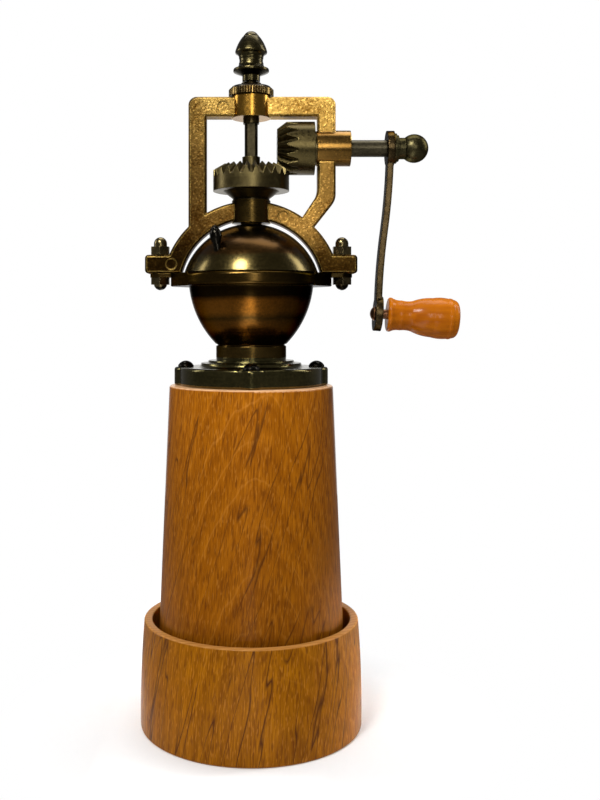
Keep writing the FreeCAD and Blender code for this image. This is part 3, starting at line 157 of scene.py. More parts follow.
def mix(tree, factor, first, second, way="MIX"):
    """Lay the second colour over the first by a factor."""
    settings = {"data_type": "RGBA", "blend_type": way}
    return node(tree, "Mix", settings, _0=factor, _6=first, _7=second).outputs[2]


def tinted(tree, colour, shares):
    """A colour multiplied by shares of red, green and blue."""
    return mix(tree, 1.0, colour, shares, "MULTIPLY")


def coordinates(tree, stretch=(1.0, 1.0, 1.0), turn=(0.0, 0.0, 0.0), shift=(0.0, 0.0, 0.0)):
    """The piece's own coordinates in metres, stretched, turned and shifted."""
    own = node(tree, "TexCoord").outputs["Object"]
    return node(tree, "Mapping", Vector=own, Location=shift, Rotation=turn, Scale=stretch).outputs[0]


def noise(tree, vector, scale, detail=2.0):
    """Smooth random pattern, 0 to 1, with scale waves per metre."""
    return node(tree, "TexNoise", Vector=vector, Scale=scale, Detail=detail).outputs[0]


def distance_from_axis(tree, vector):
    """How far a point lies from the upright axis of the given coordinates."""
    return vector_math(tree, "LENGTH", vector_math(tree, "MULTIPLY", vector, (1.0, 1.0, 0.0)))


def new_material(name, **values):
    """A material with a Principled shader and the given shader values; returns it, its tree and shader."""
    material = bpy.data.materials.new(name)
    material.use_nodes = True
    shader = material.node_tree.nodes["Principled BSDF"]
    for key, value in values.items():
        shader.inputs[key.replace("_", " ")].default_value = value
    return material, material.node_tree, shader


print("pattern helpers ready")

# %% [markdown]
# ## Oak patterns
# A turned oak cylinder shows its year rings as tall arches on the side that faces the bark and
# as close upright lines a quarter turn round. The rings are circles round the heart of the tree,
# so the pattern here is a distance from a leaning line behind the piece. A Wave texture could draw
# rings too, but a plain distance leaves the look of each year to a ramp. Fibres, pores and pale
# flecks lie along the grain: they are noise drawn out in that direction. The long dark cracks lean
# all the same way round the piece, so their noise is twisted about the axis, like a rope; a crack
# runs where that noise passes its middle value, which draws a thin line, not a blot.

# %% Oak patterns
RINGS_PER_METRE = 420.0
WOBBLES_PER_METRE = 60.0
RING_WOBBLE = 1.3
# Along the grain: waves per metre, stretch, share of the twist, detail
GRAIN = {
    "cloud": (45.0, 0.3, 0.5, 3.0),
    "fibres": (2300.0, 0.06, 0.15, 2.0),
    "pores": (1500.0, 0.13, 0.3, 0.0),
    "flecks": (2400.0, 0.16, 0.3, 0.0),
    "patches": (55.0, 0.5, 1.0, 1.0),
}
FIBRE_SHARES = [(0.30, (0.68, 0.62, 0.54)), (0.70, (1.20, 1.23, 1.28))]
PORE_BROWN = (0.120, 0.031, 0.002, 1.0)
FLECK_PALE = (0.56, 0.225, 0.030, 1.0)
CRACK_STRETCH = 0.085
CRACK_FADE = 0.07


def twisted(tree, stretch, twist):
    """Own coordinates, turned about the axis by twist radians per metre, then stretched along it."""
    own = node(tree, "TexCoord").outputs["Object"]
    turn = times(tree, part(tree, own, 2), -twist)
    made = node(tree, "VectorRotate", {"rotation_type": "Z_AXIS"}, Vector=own, Angle=turn)
    return node(tree, "Mapping", Vector=made.outputs[0], Scale=(1.0, 1.0, stretch)).outputs[0]


def along_grain(tree, pattern, twist):
    """The noise of one of the patterns that follow the grain."""
    waves, stretch, share, detail = GRAIN[pattern]
    return noise(tree, twisted(tree, stretch, twist * share), waves, detail)


def place_in_year(tree, heart, lean):
    """How far a point has come in its year, 0 to 1: its distance from the heart line times the rings per
    metre, plus a soft wobble, less the whole years. Heart and lean bring the heart line onto the axis."""
    reach = distance_from_axis(tree, coordinates(tree, turn=lean, shift=heart))
    wobble = noise(tree, coordinates(tree, stretch=(1.0, 1.0, 0.3)), WOBBLES_PER_METRE, 3.0)
    years = math_node(tree, "ADD", times(tree, reach, RINGS_PER_METRE), times(tree, wobble, RING_WOBBLE))
    return math_node(tree, "FRACT", years)


def fibres_pores_flecks(tree, colour, twist):
    """Colour with fine fibres, dark pores and pale flecks; also the fibres and the pores themselves."""
    fibres = along_grain(tree, "fibres", twist)
    colour = tinted(tree, colour, ramp(tree, fibres, FIBRE_SHARES))
    pores = grey_ramp(tree, along_grain(tree, "pores", twist), [(0.60, 0.0), (0.72, 0.55)])
    colour = mix(tree, pores, colour, PORE_BROWN)
    flecks = grey_ramp(tree, along_grain(tree, "flecks", twist), [(0.24, 0.32), (0.38, 0.0)])
    return mix(tree, flecks, colour, FLECK_PALE), fibres, pores


def crack_lines(tree, patch, twist, number, width, darkness, spread):
    """Thin dark lines where a twisted noise, with number waves per metre round, lies within width of its
    middle value. They run only where the patch noise is below spread."""
    level = noise(tree, twisted(tree, CRACK_STRETCH, twist), number, 1.0)
    off_middle = math_node(tree, "ABSOLUTE", math_node(tree, "SUBTRACT", level, 0.5))
    line = map_range(tree, off_middle, 0.0, width, darkness, 0.0)
    return times(tree, line, grey_ramp(tree, patch, [(spread, 1.0), (spread + CRACK_FADE, 0.0)]))


print("oak rings:", RINGS_PER_METRE, "per metre, patterns along the grain:", *GRAIN)

# %% [markdown]
# ## Oak
# The body and the cup are turned from oak and rubbed with oil. The oil has sunk in and leaves only a
# thin film, which shines where the wood turns away from the eye; a clear coat with a low index of
# refraction does that. The end grain drinks more oil or is sanded paler, so faces that look up or
# down get tones of their own. Both pieces use one function, with other tones and another heart.

# %% Oak material
CLOUD_SHARES = [(0.32, (0.88, 0.86, 0.82)), (0.66, (1.08, 1.09, 1.10))]
ARCH_PALE = (0.54, 0.215, 0.032, 1.0)
CRACK_BROWN = (0.070, 0.020, 0.003, 1.0)


def oak(name, heart, lean, tints, ends, arches, cracks, twist, rise):
    """Oiled oak. Tints are the tones of early and late wood, ends those of end grain. Arches is how
    clearly the pale ring lines show. Cracks are (number, width, darkness, spread) and lean by twist. Rise
    is (low height, tone share there, high height, tone share there): painted light, the wood made brighter
    higher up where the lamps light it more."""
    material, tree, shader = new_material(name, Roughness=0.5, Specular_IOR_Level=0.04, Coat_Weight=0.5,
                                          Coat_IOR=1.12, Coat_Roughness=0.10)
    year = place_in_year(tree, heart, lean)
    early, late = tints
    colour = ramp(tree, year, [(0.0, late), (0.30, early), (0.85, late), (1.0, late)])
    colour = tinted(tree, colour, ramp(tree, along_grain(tree, "cloud", twist), CLOUD_SHARES))
    colour, fibres, pores = fibres_pores_flecks(tree, colour, twist)
    patch = along_grain(tree, "patches", twist)
    ring_line = grey_ramp(tree, year, [(0.0, arches), (0.06, 0.0), (0.96, 0.0), (1.0, arches)])
    arch = times(tree, ring_line, grey_ramp(tree, patch, [(0.50, 0.0), (0.60, 1.0)]))
    colour = mix(tree, arch, colour, ARCH_PALE)
    crack = crack_lines(tree, patch, twist, *cracks)
    colour = mix(tree, crack, colour, CRACK_BROWN)
    upward = math_node(tree, "ABSOLUTE", part(tree, node(tree, "NewGeometry").outputs["Normal"], 2))
    end_tone = ramp(tree, year, [(0.0, ends[0]), (0.5, ends[1]), (1.0, ends[0])])
    colour = mix(tree, grey_ramp(tree, upward, [(0.35, 0.0), (0.75, 1.0)]), colour, end_tone)
    # Painted light: the tone grows with height, for the lamps that light the upper wood more.
    low, low_share, high, high_share = rise
    painted_light_share = map_range(tree, part(tree, coordinates(tree), 2), low, high, low_share, high_share)
    tree.links.new(tinted(tree, colour, painted_light_share), shader.inputs["Base Color"])
    hollows = math_node(tree, "MAXIMUM", pores, crack)
    relief = math_node(tree, "SUBTRACT", times(tree, fibres, 0.5), hollows)
    bump = node(tree, "Bump", Strength=0.35, Distance=0.0002, Height=relief)
    tree.links.new(bump.outputs[0], shader.inputs["Normal"])
    return material


body_oak = oak("body_oak", heart=(0.004, -0.070, 0.0), lean=(-0.10, 0.0, 0.0),
               tints=((0.264, 0.078, 0.0014), (0.320, 0.100, 0.0022)),
               ends=((0.50, 0.270, 0.125), (0.64, 0.380, 0.205)), arches=0.24,
               cracks=(140.0, 0.012, 0.8, 0.60), twist=9.0, rise=(0.045, 0.78, 0.128, 1.20))
cup_oak = oak("cup_oak", heart=(0.03, -0.085, 0.0), lean=(-0.05, -0.2, 0.0),
              tints=((0.240, 0.079, 0.0011), (0.286, 0.099, 0.0017)),
              ends=((0.36, 0.150, 0.030), (0.47, 0.215, 0.055)), arches=0.08,
              cracks=(150.0, 0.014, 1.0, 0.61), twist=6.0, rise=(0.0, 0.95, 0.04, 1.0))
print("oak:", body_oak.name, cup_oak.name)

# %% [markdown]
# ## Varnished handle
# The grip is a dense orange wood under a clear varnish that hands have dulled a little. The varnish
# is the shader's own clear coat, so no second surface is needed; the wood below it has only a faint
# grain, running along the grip.

# %% Handle wood material
GRIP_LEAN = -0.073
handle_wood, handle_tree, handle_shader = new_material(
    "handle_wood", Roughness=0.4, Specular_IOR_Level=0.03, Coat_Weight=0.24, Coat_Roughness=0.18)
along_grip = coordinates(handle_tree, stretch=(0.06, 1.0, 1.0), turn=(0.0, GRIP_LEAN, 0.0))
faint_grain = noise(handle_tree, along_grip, 700.0, 3.0)
soft_cloud = noise(handle_tree, coordinates(handle_tree, stretch=(0.3, 1.0, 1.0)), 130.0)
figure = math_node(handle_tree, "ADD", times(handle_tree, faint_grain, 0.35),
                   times(handle_tree, soft_cloud, 0.65))
orange = ramp(handle_tree, figure, [(0.36, (0.33, 0.078, 0.0010)), (0.64, (0.53, 0.150, 0.0025))])
handle_tree.links.new(orange, handle_shader.inputs["Base Color"])
print("varnish:", handle_wood.name)

# %% [markdown]
# ## Patina and painted light
# Nearly every metal piece is brass, but not with one finish. The frame is left as it was cast, grainy, and
# it is bright above and browner towards the bowl, partly by patina and partly by painted light and shade.
# The turned pieces are darkened in an acid bath, then polished so that the high places shine through. A
# painted mask could hold such changes; here each is a small rule about a place on the piece: its height,
# how far right it lies, whether it is in a groove, on a grain that gets a painted glint or on a turned
# boss. The rules by height and by how far right also paint light, shade and reflections.

# %% Patina and painted light
BORDER_WAVE = 0.002
# Painted glints: a bluish-white lift of the tone on single grains, for the sparkle of light on cast brass.
PAINTED_GLINT = (2.3, 2.4, 2.8, 1.0)
GLINT_START, GLINT_FULL = 0.74, 0.80


def patina_and_painted_light_by_height(tree, tone, own, cloud, bands):
    """Tone times colour shares that change with height; bands are (height, shares) from low to high, and
    the cloud makes their borders wavy. The shares are patina on the bolts, partly patina and partly
    painted light and shade on the frame, and painted reflections on the bowl and the dome."""
    foot, top = bands[0][0], bands[-1][0]
    height = math_node(tree, "ADD", part(tree, own, 2), times(tree, cloud, BORDER_WAVE))
    stops = [((level - foot) / (top - foot), shares) for level, shares in bands]
    return tinted(tree, tone, ramp(tree, map_range(tree, height, foot, top), stops))


def painted_shade_across(tree, tone, own, across):
    """Painted shade: tone times colour shares that change from left to right, one side darker as the light
    fell; across is two times (place, shares).
    """
    (left, left_shares), (right, right_shares) = across
    place = map_range(tree, part(tree, own, 0), left, right)
    return tinted(tree, tone, ramp(tree, place, [(0.0, left_shares), (1.0, right_shares)]))


def dark_grooves(tree, tone, own, dark, ridges):
    """Dark at the foot radius of a knurl, the tone itself at its top radius."""
    foot, top = ridges
    return mix(tree, map_range(tree, distance_from_axis(tree, own), foot, top), (*dark, 1.0), tone)


def painted_glints(tree, tone, own, grain, glints):
    """Painted glints: tone lifted brighter and whiter on grains where a noise of the grain's size passes a
    height that glints lowers, standing in for the sparkle of light on the cast grain.
    """
    grains = noise(tree, own, grain * 1.15, 0.0)
    lit = grey_ramp(tree, grains, [(GLINT_START - glints, 0.0), (GLINT_FULL - glints, 0.75)])
    return mix(tree, lit, tone, tinted(tree, tone, PAINTED_GLINT))


def inside_boss(tree, own, boss):
    """1 nearer to the boss's axis than its radius and further along it than its start, otherwise 0."""
    offset = vector_math(tree, "SUBTRACT", own, boss["centre"])
    apart = vector_math(tree, "LENGTH", vector_math(tree, "MULTIPLY", offset, boss["square"]))
    axis = tuple(1.0 - share for share in boss["square"])
    along = vector_math(tree, "DOT_PRODUCT", own, axis)
    return times(tree, math_node(tree, "LESS_THAN", apart, boss["radius"]),
                 math_node(tree, "GREATER_THAN", along, boss["start"]))


print("patina rules ready")

# %% [markdown]
# ## Metal
# One function makes all the metals: two tones mixed by a cloud and a fine speck, the patina on top,
# and turning lines where a lathe left them. A Bevel modifier would round the edges for real, but
# the CAD pieces stay as they are; so a Bevel node rounds only their shading, as a polishing wheel
# does. Where its rounded direction leaves the face's own there is an edge, and edges are worn bright.

# %% Metal function
METAL_CLOUDS_PER_METRE = 85.0
ROUND_THE_LATHE = (0.02, 0.02, 1.0)
SMOOTHEST, ROUGHEST = 0.75, 1.3
BUMP_STRENGTH = 0.6
BOSS_SMOOTHING = 0.57
FLAT, SHARP = 0.99, 0.80


def worn_edges(tree, cloud, edge, worn):
    """The rounded direction within edge metres of an edge, and how far the patina is rubbed off there:
    from nothing where that direction agrees with the face's own to worn where they part, by the cloud."""
    rounded = node(tree, "Bevel", {"samples": 4}, Radius=edge).outputs[0]
    face = node(tree, "NewGeometry").outputs["Normal"]
    rubbed = map_range(tree, vector_math(tree, "DOT_PRODUCT", rounded, face), FLAT, SHARP, 0.0, worn)
    return rounded, times(tree, rubbed, times(tree, cloud, 1.6))


def metal(name, dark, bright, roughness, grain=1200.0, bump_depth=0.000006, lines=0.0, edge=0.0004,
          worn=0.5, bands=(), across=(), ridges=(), glints=0.0, bosses=(), graze=1.0):
    """Metal between two tones. Grain and lines are the specks and the turning lines, in waves per metre.
    Worn is how bright the edges are rubbed. Bands, across, ridges, glints and bosses go to the rules of
    patina and painted light: the bands are partly patina and partly painted light, shade and reflection,
    across is painted shade, glints are painted glints, and the bosses' tones partly paint light and shade.
    Graze is how much of the light that only skims the surface is mirrored; a film of lacquer and dust
    takes the rest."""
    material, tree, shader = new_material(name, Metallic=1.0, Specular_Tint=(graze, graze, graze, 1.0))
    own = coordinates(tree)
    cloud = noise(tree, own, METAL_CLOUDS_PER_METRE, 3.0)
    speck = noise(tree, own, grain)
    mottle = math_node(tree, "ADD", times(tree, cloud, 0.55), times(tree, speck, 0.45))
    tone = ramp(tree, mottle, [(0.36, dark), (0.64, bright)])
    if bands:
        tone = patina_and_painted_light_by_height(tree, tone, own, cloud, bands)
    if across:
        tone = painted_shade_across(tree, tone, own, across)
    if ridges:
        tone = dark_grooves(tree, tone, own, dark, ridges)
    if glints:
        tone = painted_glints(tree, tone, own, grain, glints)
    height = speck
    if lines:
        turning_lines = noise(tree, coordinates(tree, stretch=ROUND_THE_LATHE), lines)
        height = math_node(tree, "ADD", times(tree, speck, 0.3), turning_lines)
    rough = map_range(tree, height, 0.2, 0.8, roughness * SMOOTHEST, roughness * ROUGHEST)
    relief, dullness = BUMP_STRENGTH, 1.0
    for boss in bosses:
        inside = inside_boss(tree, own, boss)
        boss_dark, boss_bright = boss["tones"]
        tone = mix(tree, inside, tone, ramp(tree, cloud, [(0.38, boss_dark), (0.62, boss_bright)]))
        dullness = math_node(tree, "SUBTRACT", dullness, times(tree, inside, boss["shine"]))
        relief = math_node(tree, "SUBTRACT", relief, times(tree, inside, BOSS_SMOOTHING))
    rounded, rubbed = worn_edges(tree, cloud, edge, worn)
    bump = node(tree, "Bump", Strength=relief, Distance=bump_depth, Height=height, Normal=rounded)
    tree.links.new(mix(tree, rubbed, tone, (*bright, 1.0)), shader.inputs["Base Color"])
    tree.links.new(times(tree, rough, dullness) if bosses else rough, shader.inputs["Roughness"])
    tree.links.new(bump.outputs[0], shader.inputs["Normal"])
    return material


print("metal function ready")

# %% [markdown]
# ## Where the patina and the painted light change
# The frame, the bowl and the dome get colour shares that change with height. On the frame they are partly
# patina, dark beside the ears where hands and polish never come and worn to gold above, and partly painted
# light and shade: painted shade low down, painted light on the top bar. On the bowl and the dome they are
# painted reflections: amber bands on the bowl with a dark band of painted shade under its rim, and on the
# dome a brown patch and a dark band under the boss. The left of the frame and the right of the bowl are
# duller, which is painted shade. The frame's three bosses were turned after casting, so they are smoother
# than the rest; they have tones of their own, which partly paint the light on the top boss and the shade
# on the lower one.

# %% Where the patina and the painted light change
FULL = (1.0, 1.0, 1.0)
# Dark shares of the painted shade band under the bowl's rim.
PAINTED_SHADE_SHARES = (0.10, 0.09, 0.08)
# Partly patina, partly painted light and shade: darker low beside the ears, bright on the top bar where
# the light falls.
FRAME_PATINA_AND_PAINTED_LIGHT_BANDS = [(0.174, (0.046, 0.033, 0.019)), (0.183, (0.085, 0.066, 0.044)),
               (0.195, (0.47, 0.39, 0.330)), (0.203, (0.44, 0.37, 0.310)),
               (0.212, (0.32, 0.272, 0.230)), (0.225, (0.345, 0.292, 0.246)),
               (0.2365, (0.68, 0.63, 0.55)), (0.246, (0.78, 0.75, 0.70))]
# Painted shade: the frame is darker to the left, as the light fell.
FRAME_PAINTED_SHADE_ACROSS = [(-0.024, (0.25, 0.245, 0.25)), (0.018, FULL)]
ABOUT_SPINDLE = {"square": (1.0, 1.0, 0.0), "centre": (0.0, 0.0, 0.0), "radius": 0.0078}
ABOUT_CRANK = {"square": (0.0, 1.0, 1.0), "centre": joints["crank_turn"]["pos_m"], "radius": 0.0073}
# The bosses' tones are partly painted light and shade: the top boss brighter and the lower boss darker, as
# the light fell on them.
FRAME_BOSSES = [
    {**ABOUT_SPINDLE, "start": 0.0, "shine": 0.35,
     "tones": ((0.050, 0.031, 0.008), (0.088, 0.053, 0.013))},
    {**ABOUT_SPINDLE, "start": 0.230, "shine": 0.15,
     "tones": ((0.28, 0.143, 0.020), (0.44, 0.230, 0.036))},
    {**ABOUT_CRANK, "start": 0.0255, "shine": 0.5,
     "tones": ((0.155, 0.080, 0.0175), (0.255, 0.135, 0.030))},
]
# Painted reflections: the amber and dark bands stand in for what the polished bowl mirrored, the darkest
# band under the rim for shade.
BOWL_PAINTED_REFLECTION_BANDS = [(0.142, (0.62, 0.64, 0.62)), (0.1480, (0.50, 0.50, 0.46)), (0.1515, (0.16, 0.13, 0.10)),
              (0.1545, (0.85, 0.52, 0.26)), (0.1575, (0.62, 0.42, 0.25)), (0.1590, (0.30, 0.25, 0.19)),
              (0.1615, (1.0, 0.62, 0.28)), (0.1655, (1.0, 0.60, 0.26)), (0.1675, PAINTED_SHADE_SHARES), (0.1705, PAINTED_SHADE_SHARES),
              (0.1720, (0.31, 0.29, 0.25)), (0.1765, (0.28, 0.27, 0.24))]
# Painted shade: the bowl is darker to the right, where it mirrored a dark room.
BOWL_PAINTED_SHADE_ACROSS = [(0.004, FULL), (0.018, (0.24, 0.27, 0.32))]
# Painted reflection: a brown band and a dark band under the boss stand in for what the polished dome
# mirrors, and the lower dome is painted darker to soften the lamp's highlight.
DOME_PAINTED_REFLECTION_BANDS = [(0.174, (0.34, 0.345, 0.26)), (0.1825, (0.32, 0.32, 0.23)), (0.1836, (0.32, 0.215, 0.125)),
              (0.1895, (0.20, 0.135, 0.078)), (0.1908, (0.10, 0.10, 0.09)), (0.196, (0.10, 0.10, 0.09))]
BOLT_BANDS = [(0.160, (0.10, 0.10, 0.10)), (0.1714, (0.10, 0.10, 0.10)), (0.1719, FULL), (0.180, FULL)]
KNURL_RADII = (0.00850, 0.00882)
print("bands on frame, bowl, dome, bolts:", *map(len, (FRAME_PATINA_AND_PAINTED_LIGHT_BANDS, BOWL_PAINTED_REFLECTION_BANDS, DOME_PAINTED_REFLECTION_BANDS, BOLT_BANDS)))

# %% [markdown]
# ## Which piece wears which finish
# Brass that was darkened and polished again is not one colour: the gears are brown, the turned
# pieces nearly black, the nuts are worn bare. The burrs are steel, the screws and the hatch's knob are
# blackened, and the handle's pin has a copper head. A finish for each keeps them apart, as a
# polisher's bench would.

# %% Finishes
finishes = {
    "frame": metal("cast_brass", (0.26, 0.130, 0.020), (1.0, 0.66, 0.17), 0.46, grain=1150.0,
                   bump_depth=0.00026, edge=0.0007, worn=0.9, bands=FRAME_PATINA_AND_PAINTED_LIGHT_BANDS, across=FRAME_PAINTED_SHADE_ACROSS,
                   glints=0.11, bosses=FRAME_BOSSES),
    "bowl": metal("polished_bowl", (0.165, 0.100, 0.028), (0.305, 0.185, 0.052), 0.20, lines=1800.0,
                  bands=BOWL_PAINTED_REFLECTION_BANDS, across=BOWL_PAINTED_SHADE_ACROSS, graze=0.35),
    "dome": metal("polished_dome", (0.24, 0.175, 0.078), (0.34, 0.250, 0.115), 0.21, bump_depth=0.000002,
                  worn=0.1, bands=DOME_PAINTED_REFLECTION_BANDS),
    "flange": metal("black_brass", (0.062, 0.053, 0.020), (0.150, 0.126, 0.050), 0.18),
    "gear": metal("antique_gear", (0.080, 0.061, 0.024), (0.135, 0.103, 0.040), 0.30, grain=700.0,
                  lines=2000.0),
    "pinion": metal("antique_pinion", (0.060, 0.045, 0.0170), (0.098, 0.074, 0.028), 0.30),
    "turned": metal("antique_turned", (0.034, 0.027, 0.011), (0.090, 0.072, 0.029), 0.22,
                    bump_depth=0.000003, lines=2400.0),
    "ball": metal("brushed_ball", (0.034, 0.029, 0.013), (0.086, 0.072, 0.032), 0.34, graze=0.4),
    "spindle": metal("dark_spindle", (0.018, 0.014, 0.007), (0.050, 0.040, 0.020), 0.30, lines=2400.0),
    "knurled": metal("antique_knurled", (0.018, 0.013, 0.005), (0.38, 0.25, 0.085), 0.22, grain=300.0,
                     edge=0.0001, ridges=KNURL_RADII),
    "arm": metal("antique_arm", (0.026, 0.018, 0.0085), (0.105, 0.070, 0.029), 0.26, grain=500.0,
                 edge=0.0011, graze=0.05),
    "shaft": metal("brown_shaft", (0.042, 0.035, 0.020), (0.105, 0.088, 0.052), 0.32, lines=2200.0),
    "nuts": metal("worn_nuts", (0.080, 0.061, 0.026), (0.24, 0.185, 0.082), 0.24, grain=500.0),
    "bolts": metal("dark_bolts", (0.060, 0.046, 0.022), (0.20, 0.152, 0.072), 0.24, grain=500.0,
                   bands=BOLT_BANDS),
    "bush": metal("bush_bronze", (0.04, 0.030, 0.013), (0.12, 0.088, 0.036), 0.32),
    "black": metal("blackened", (0.010, 0.009, 0.007), (0.030, 0.026, 0.020), 0.2),
    "burr": metal("burr_steel", (0.20, 0.20, 0.20), (0.38, 0.38, 0.38), 0.4, bump_depth=0.00002),
    "copper": metal("copper_rivet", (0.11, 0.048, 0.022), (0.26, 0.125, 0.060), 0.3, grain=1400.0),
    "body_oak": body_oak,
    "cup_oak": cup_oak,
    "handle_wood": handle_wood,
}
print("finishes:", len(finishes))

# %% [markdown]
# ## Dress the pieces
# A piece wears the material in the first slot of its mesh. The slot could be filled by hand, piece by
# piece; a list of what wears what shows at a glance that no piece is left bare.

# %% Dress the pieces
wearers = {
    "frame": ["gear_frame"],
    "bowl": ["hopper_bowl"],
    "dome": ["hatch", "dome_cover"],
    "flange": ["base_flange"],
    "gear": ["drive_gear"],
    "pinion": ["pinion"],
    "turned": ["finial", "shaft_guide", "hatch_retainer"],
    "ball": ["ball_nut"],
    "spindle": ["spindle"],
    "knurled": ["adjusting_nut"],
    "arm": ["crank_arm"],
    "shaft": ["crank_shaft"],
    "nuts": ["acorn_nuts"],
    "bolts": ["clamp_bolts"],
    "bush": ["top_bush", "lower_bush", "crank_bush", "gear_washer", "crank_washer"],
    "black": ["flange_screws", "hatch_knob"],
    "burr": ["stator_burr", "rotor_burr", "burr_washer", "burr_nut"],
    "copper": ["handle_pin"],
    "body_oak": ["mill_body"],
    "cup_oak": ["catch_cup"],
    "handle_wood": ["handle_knob"],
}
for finish, names in wearers.items():
    for name in names:
        nodes[name].data.materials.clear()
        nodes[name].data.materials.append(finishes[finish])
print("finished pieces:", sum(map(len, wearers.values())), "of", len(nodes))

# %% [markdown]
# ## Rounded outlines
# The cup, the grip, the finial and the ball nut come off a lathe: a tool follows an outline while the
# wood or brass spins. A Screw modifier could spin a drawn line, but here the surface is worked out as
# a grid, outline points one way and angles the other, which gives every edge the roundness that
# sandpaper or a file leaves on it. An outline is a short list of corners in millimetres, and each corner
# is rounded by a curve that leaves along one side and arrives along the next.

# %% Rounded outlines
def outline(corners, ring=False, steps=9):
    """Rounded outline from rows (radius, height, reach, bulge) in millimetres. Corner C turns into the
    curve (1-t)(1-t) A + 2t(1-t) C + t t B, with A and B one reach before and after it; between corners
    the point at share s of the side moves outwards by 4s(1-s) times the bulge. The shares follow a cosine,
    so the points lie closer near the corners."""
    table = np.array(corners, dtype=float)
    corner, reach, bulge = table[:, :2], table[:, 2:3], table[:, 3:4]
    onward = np.roll(corner, -1, axis=0) - corner
    onward = onward / np.linalg.norm(onward, axis=1, keepdims=True)
    before = corner - reach * np.roll(onward, 1, axis=0)
    after = corner + reach * onward
    t = np.linspace(0.0, 1.0, steps)[None, :, None]
    turns = (1 - t) ** 2 * before[:, None] + 2 * t * (1 - t) * corner[:, None] + t ** 2 * after[:, None]
    s = 0.5 - 0.48 * np.cos(np.pi * t)
    outwards = np.stack([onward[:, 1], -onward[:, 0]], axis=1)[:, None]
    sides = (1 - s) * after[:, None] + s * np.roll(before, -1, axis=0)[:, None]
    sides = sides + 4 * s * (1 - s) * bulge[:, None] * outwards
    points = np.concatenate([turns, sides], axis=1).reshape(-1, 2)
    return points if ring else points[:-sides.shape[1]]


print("outlines ready")

# %% [markdown]
# ## The lathe
# A turned piece takes the place of the CAD piece that it stands for and moves with the same body. Its
# mesh is built where the piece stands, so the object itself stays at the origin, and the points that
# fall together at a pole are merged before the faces are turned outwards.

# %% The lathe
MILLIMETRE = 0.001
MERGE_WITHIN = 0.000002
UP = (0.0, 0.0, 1.0)


def spun_mesh(name, points, foot, axis, ring, columns, swell):
    """Spin an outline: the point (radius, height) at angle a lies at foot + height x axis + radius x
    (cos a x side + sin a x across). A ring's outline closes on itself, a full piece ends at two poles;
    swell may change the radius with the angle."""
    axis = np.array(axis) / np.linalg.norm(axis)
    side = np.cross((0.0, 1.0, 0.0), axis)
    across = np.cross(axis, side)
    angle = np.linspace(0.0, 2.0 * np.pi, columns, endpoint=False)
    spokes = np.cos(angle)[:, None] * side + np.sin(angle)[:, None] * across
    radius, height = points[:, 0:1], points[:, 1:2]
    if swell:
        radius = swell(radius, angle[None])
    rise = height[:, :, None] * MILLIMETRE * axis
    grid = np.array(foot) + rise + radius[:, :, None] * MILLIMETRE * spokes[None]
    rows = len(grid)
    row = np.arange(rows if ring else rows - 1)[:, None] * columns
    next_row = (row + columns) % (rows * columns)
    column = np.arange(columns)[None]
    next_column = (column + 1) % columns
    faces = np.stack([row + column, row + next_column, next_row + next_column, next_row + column], axis=-1)
    mesh = bpy.data.meshes.new(name)
    mesh.from_pydata(grid.reshape(-1, 3).tolist(), [], faces.reshape(-1, 4).tolist())
    return mesh


def turned_piece(name, points, stands_for, body, material, foot=(0.0, 0.0, 0.0), axis=UP, ring=False,
                 columns=240, swell=None):
    """A spun outline with closed poles and faces outwards, in the place of a CAD piece."""
    mesh = spun_mesh(name, points, foot, axis, ring, columns, swell)
    work = bmesh.new()
    work.from_mesh(mesh)
    bmesh.ops.remove_doubles(work, verts=work.verts, dist=MERGE_WITHIN)
    bmesh.ops.recalc_face_normals(work, faces=work.faces)
    work.to_mesh(mesh)
    work.free()
    mesh.shade_smooth()
    mesh.materials.append(material)
    piece = bpy.data.objects.new(name, mesh)
    bpy.context.scene.collection.objects.link(piece)
    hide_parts(stands_for)
    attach(piece, body)
    print(name, "faces:", len(mesh.polygons))


print("lathe ready, doubles merged within", MERGE_WITHIN, "m")

# %% [markdown]
# ## Catch cup
# The cup stands under the mill and catches the ground pepper. It is wider at its foot and its wall
# swells a little; its rim is sanded round. A Bevel modifier would round every edge alike, while the
# outline gives each edge its own size.

# %% Catch cup
CUP = [
    (0.0, 0.0, 0.0, 0.0),  # middle of the foot
    (43.2, 0.0, 1.1, 0.47),  # edge of the foot, below the swelling wall
    (41.8, 41.2, 0.9, 0.0),  # outer edge of the rim
    (38.6, 41.2, 0.7, 0.0),  # inner edge of the rim
    (37.6, 7.0, 0.6, 0.0),  # edge of the floor
    (0.0, 7.0, 0.0, 0.0),  # middle of the floor
]
turned_piece("turned_cup", outline(CUP), "catch_cup", "cup", cup_oak)

# %% [markdown]
# ## Foot with four lobes
# The brass foot is cast, so its round disc flows into the four lobes that carry the screws. Discs
# joined by a Boolean would leave sharp corners there. So it is the same spun surface, but the radius
# also depends on the angle: near the rim, every point moves out by the height of a lobe that comes
# back four times a turn, with a soft hollow on each side of it. The steps up to the neck and the bore
# stay round, because their share of the lobe is nothing.

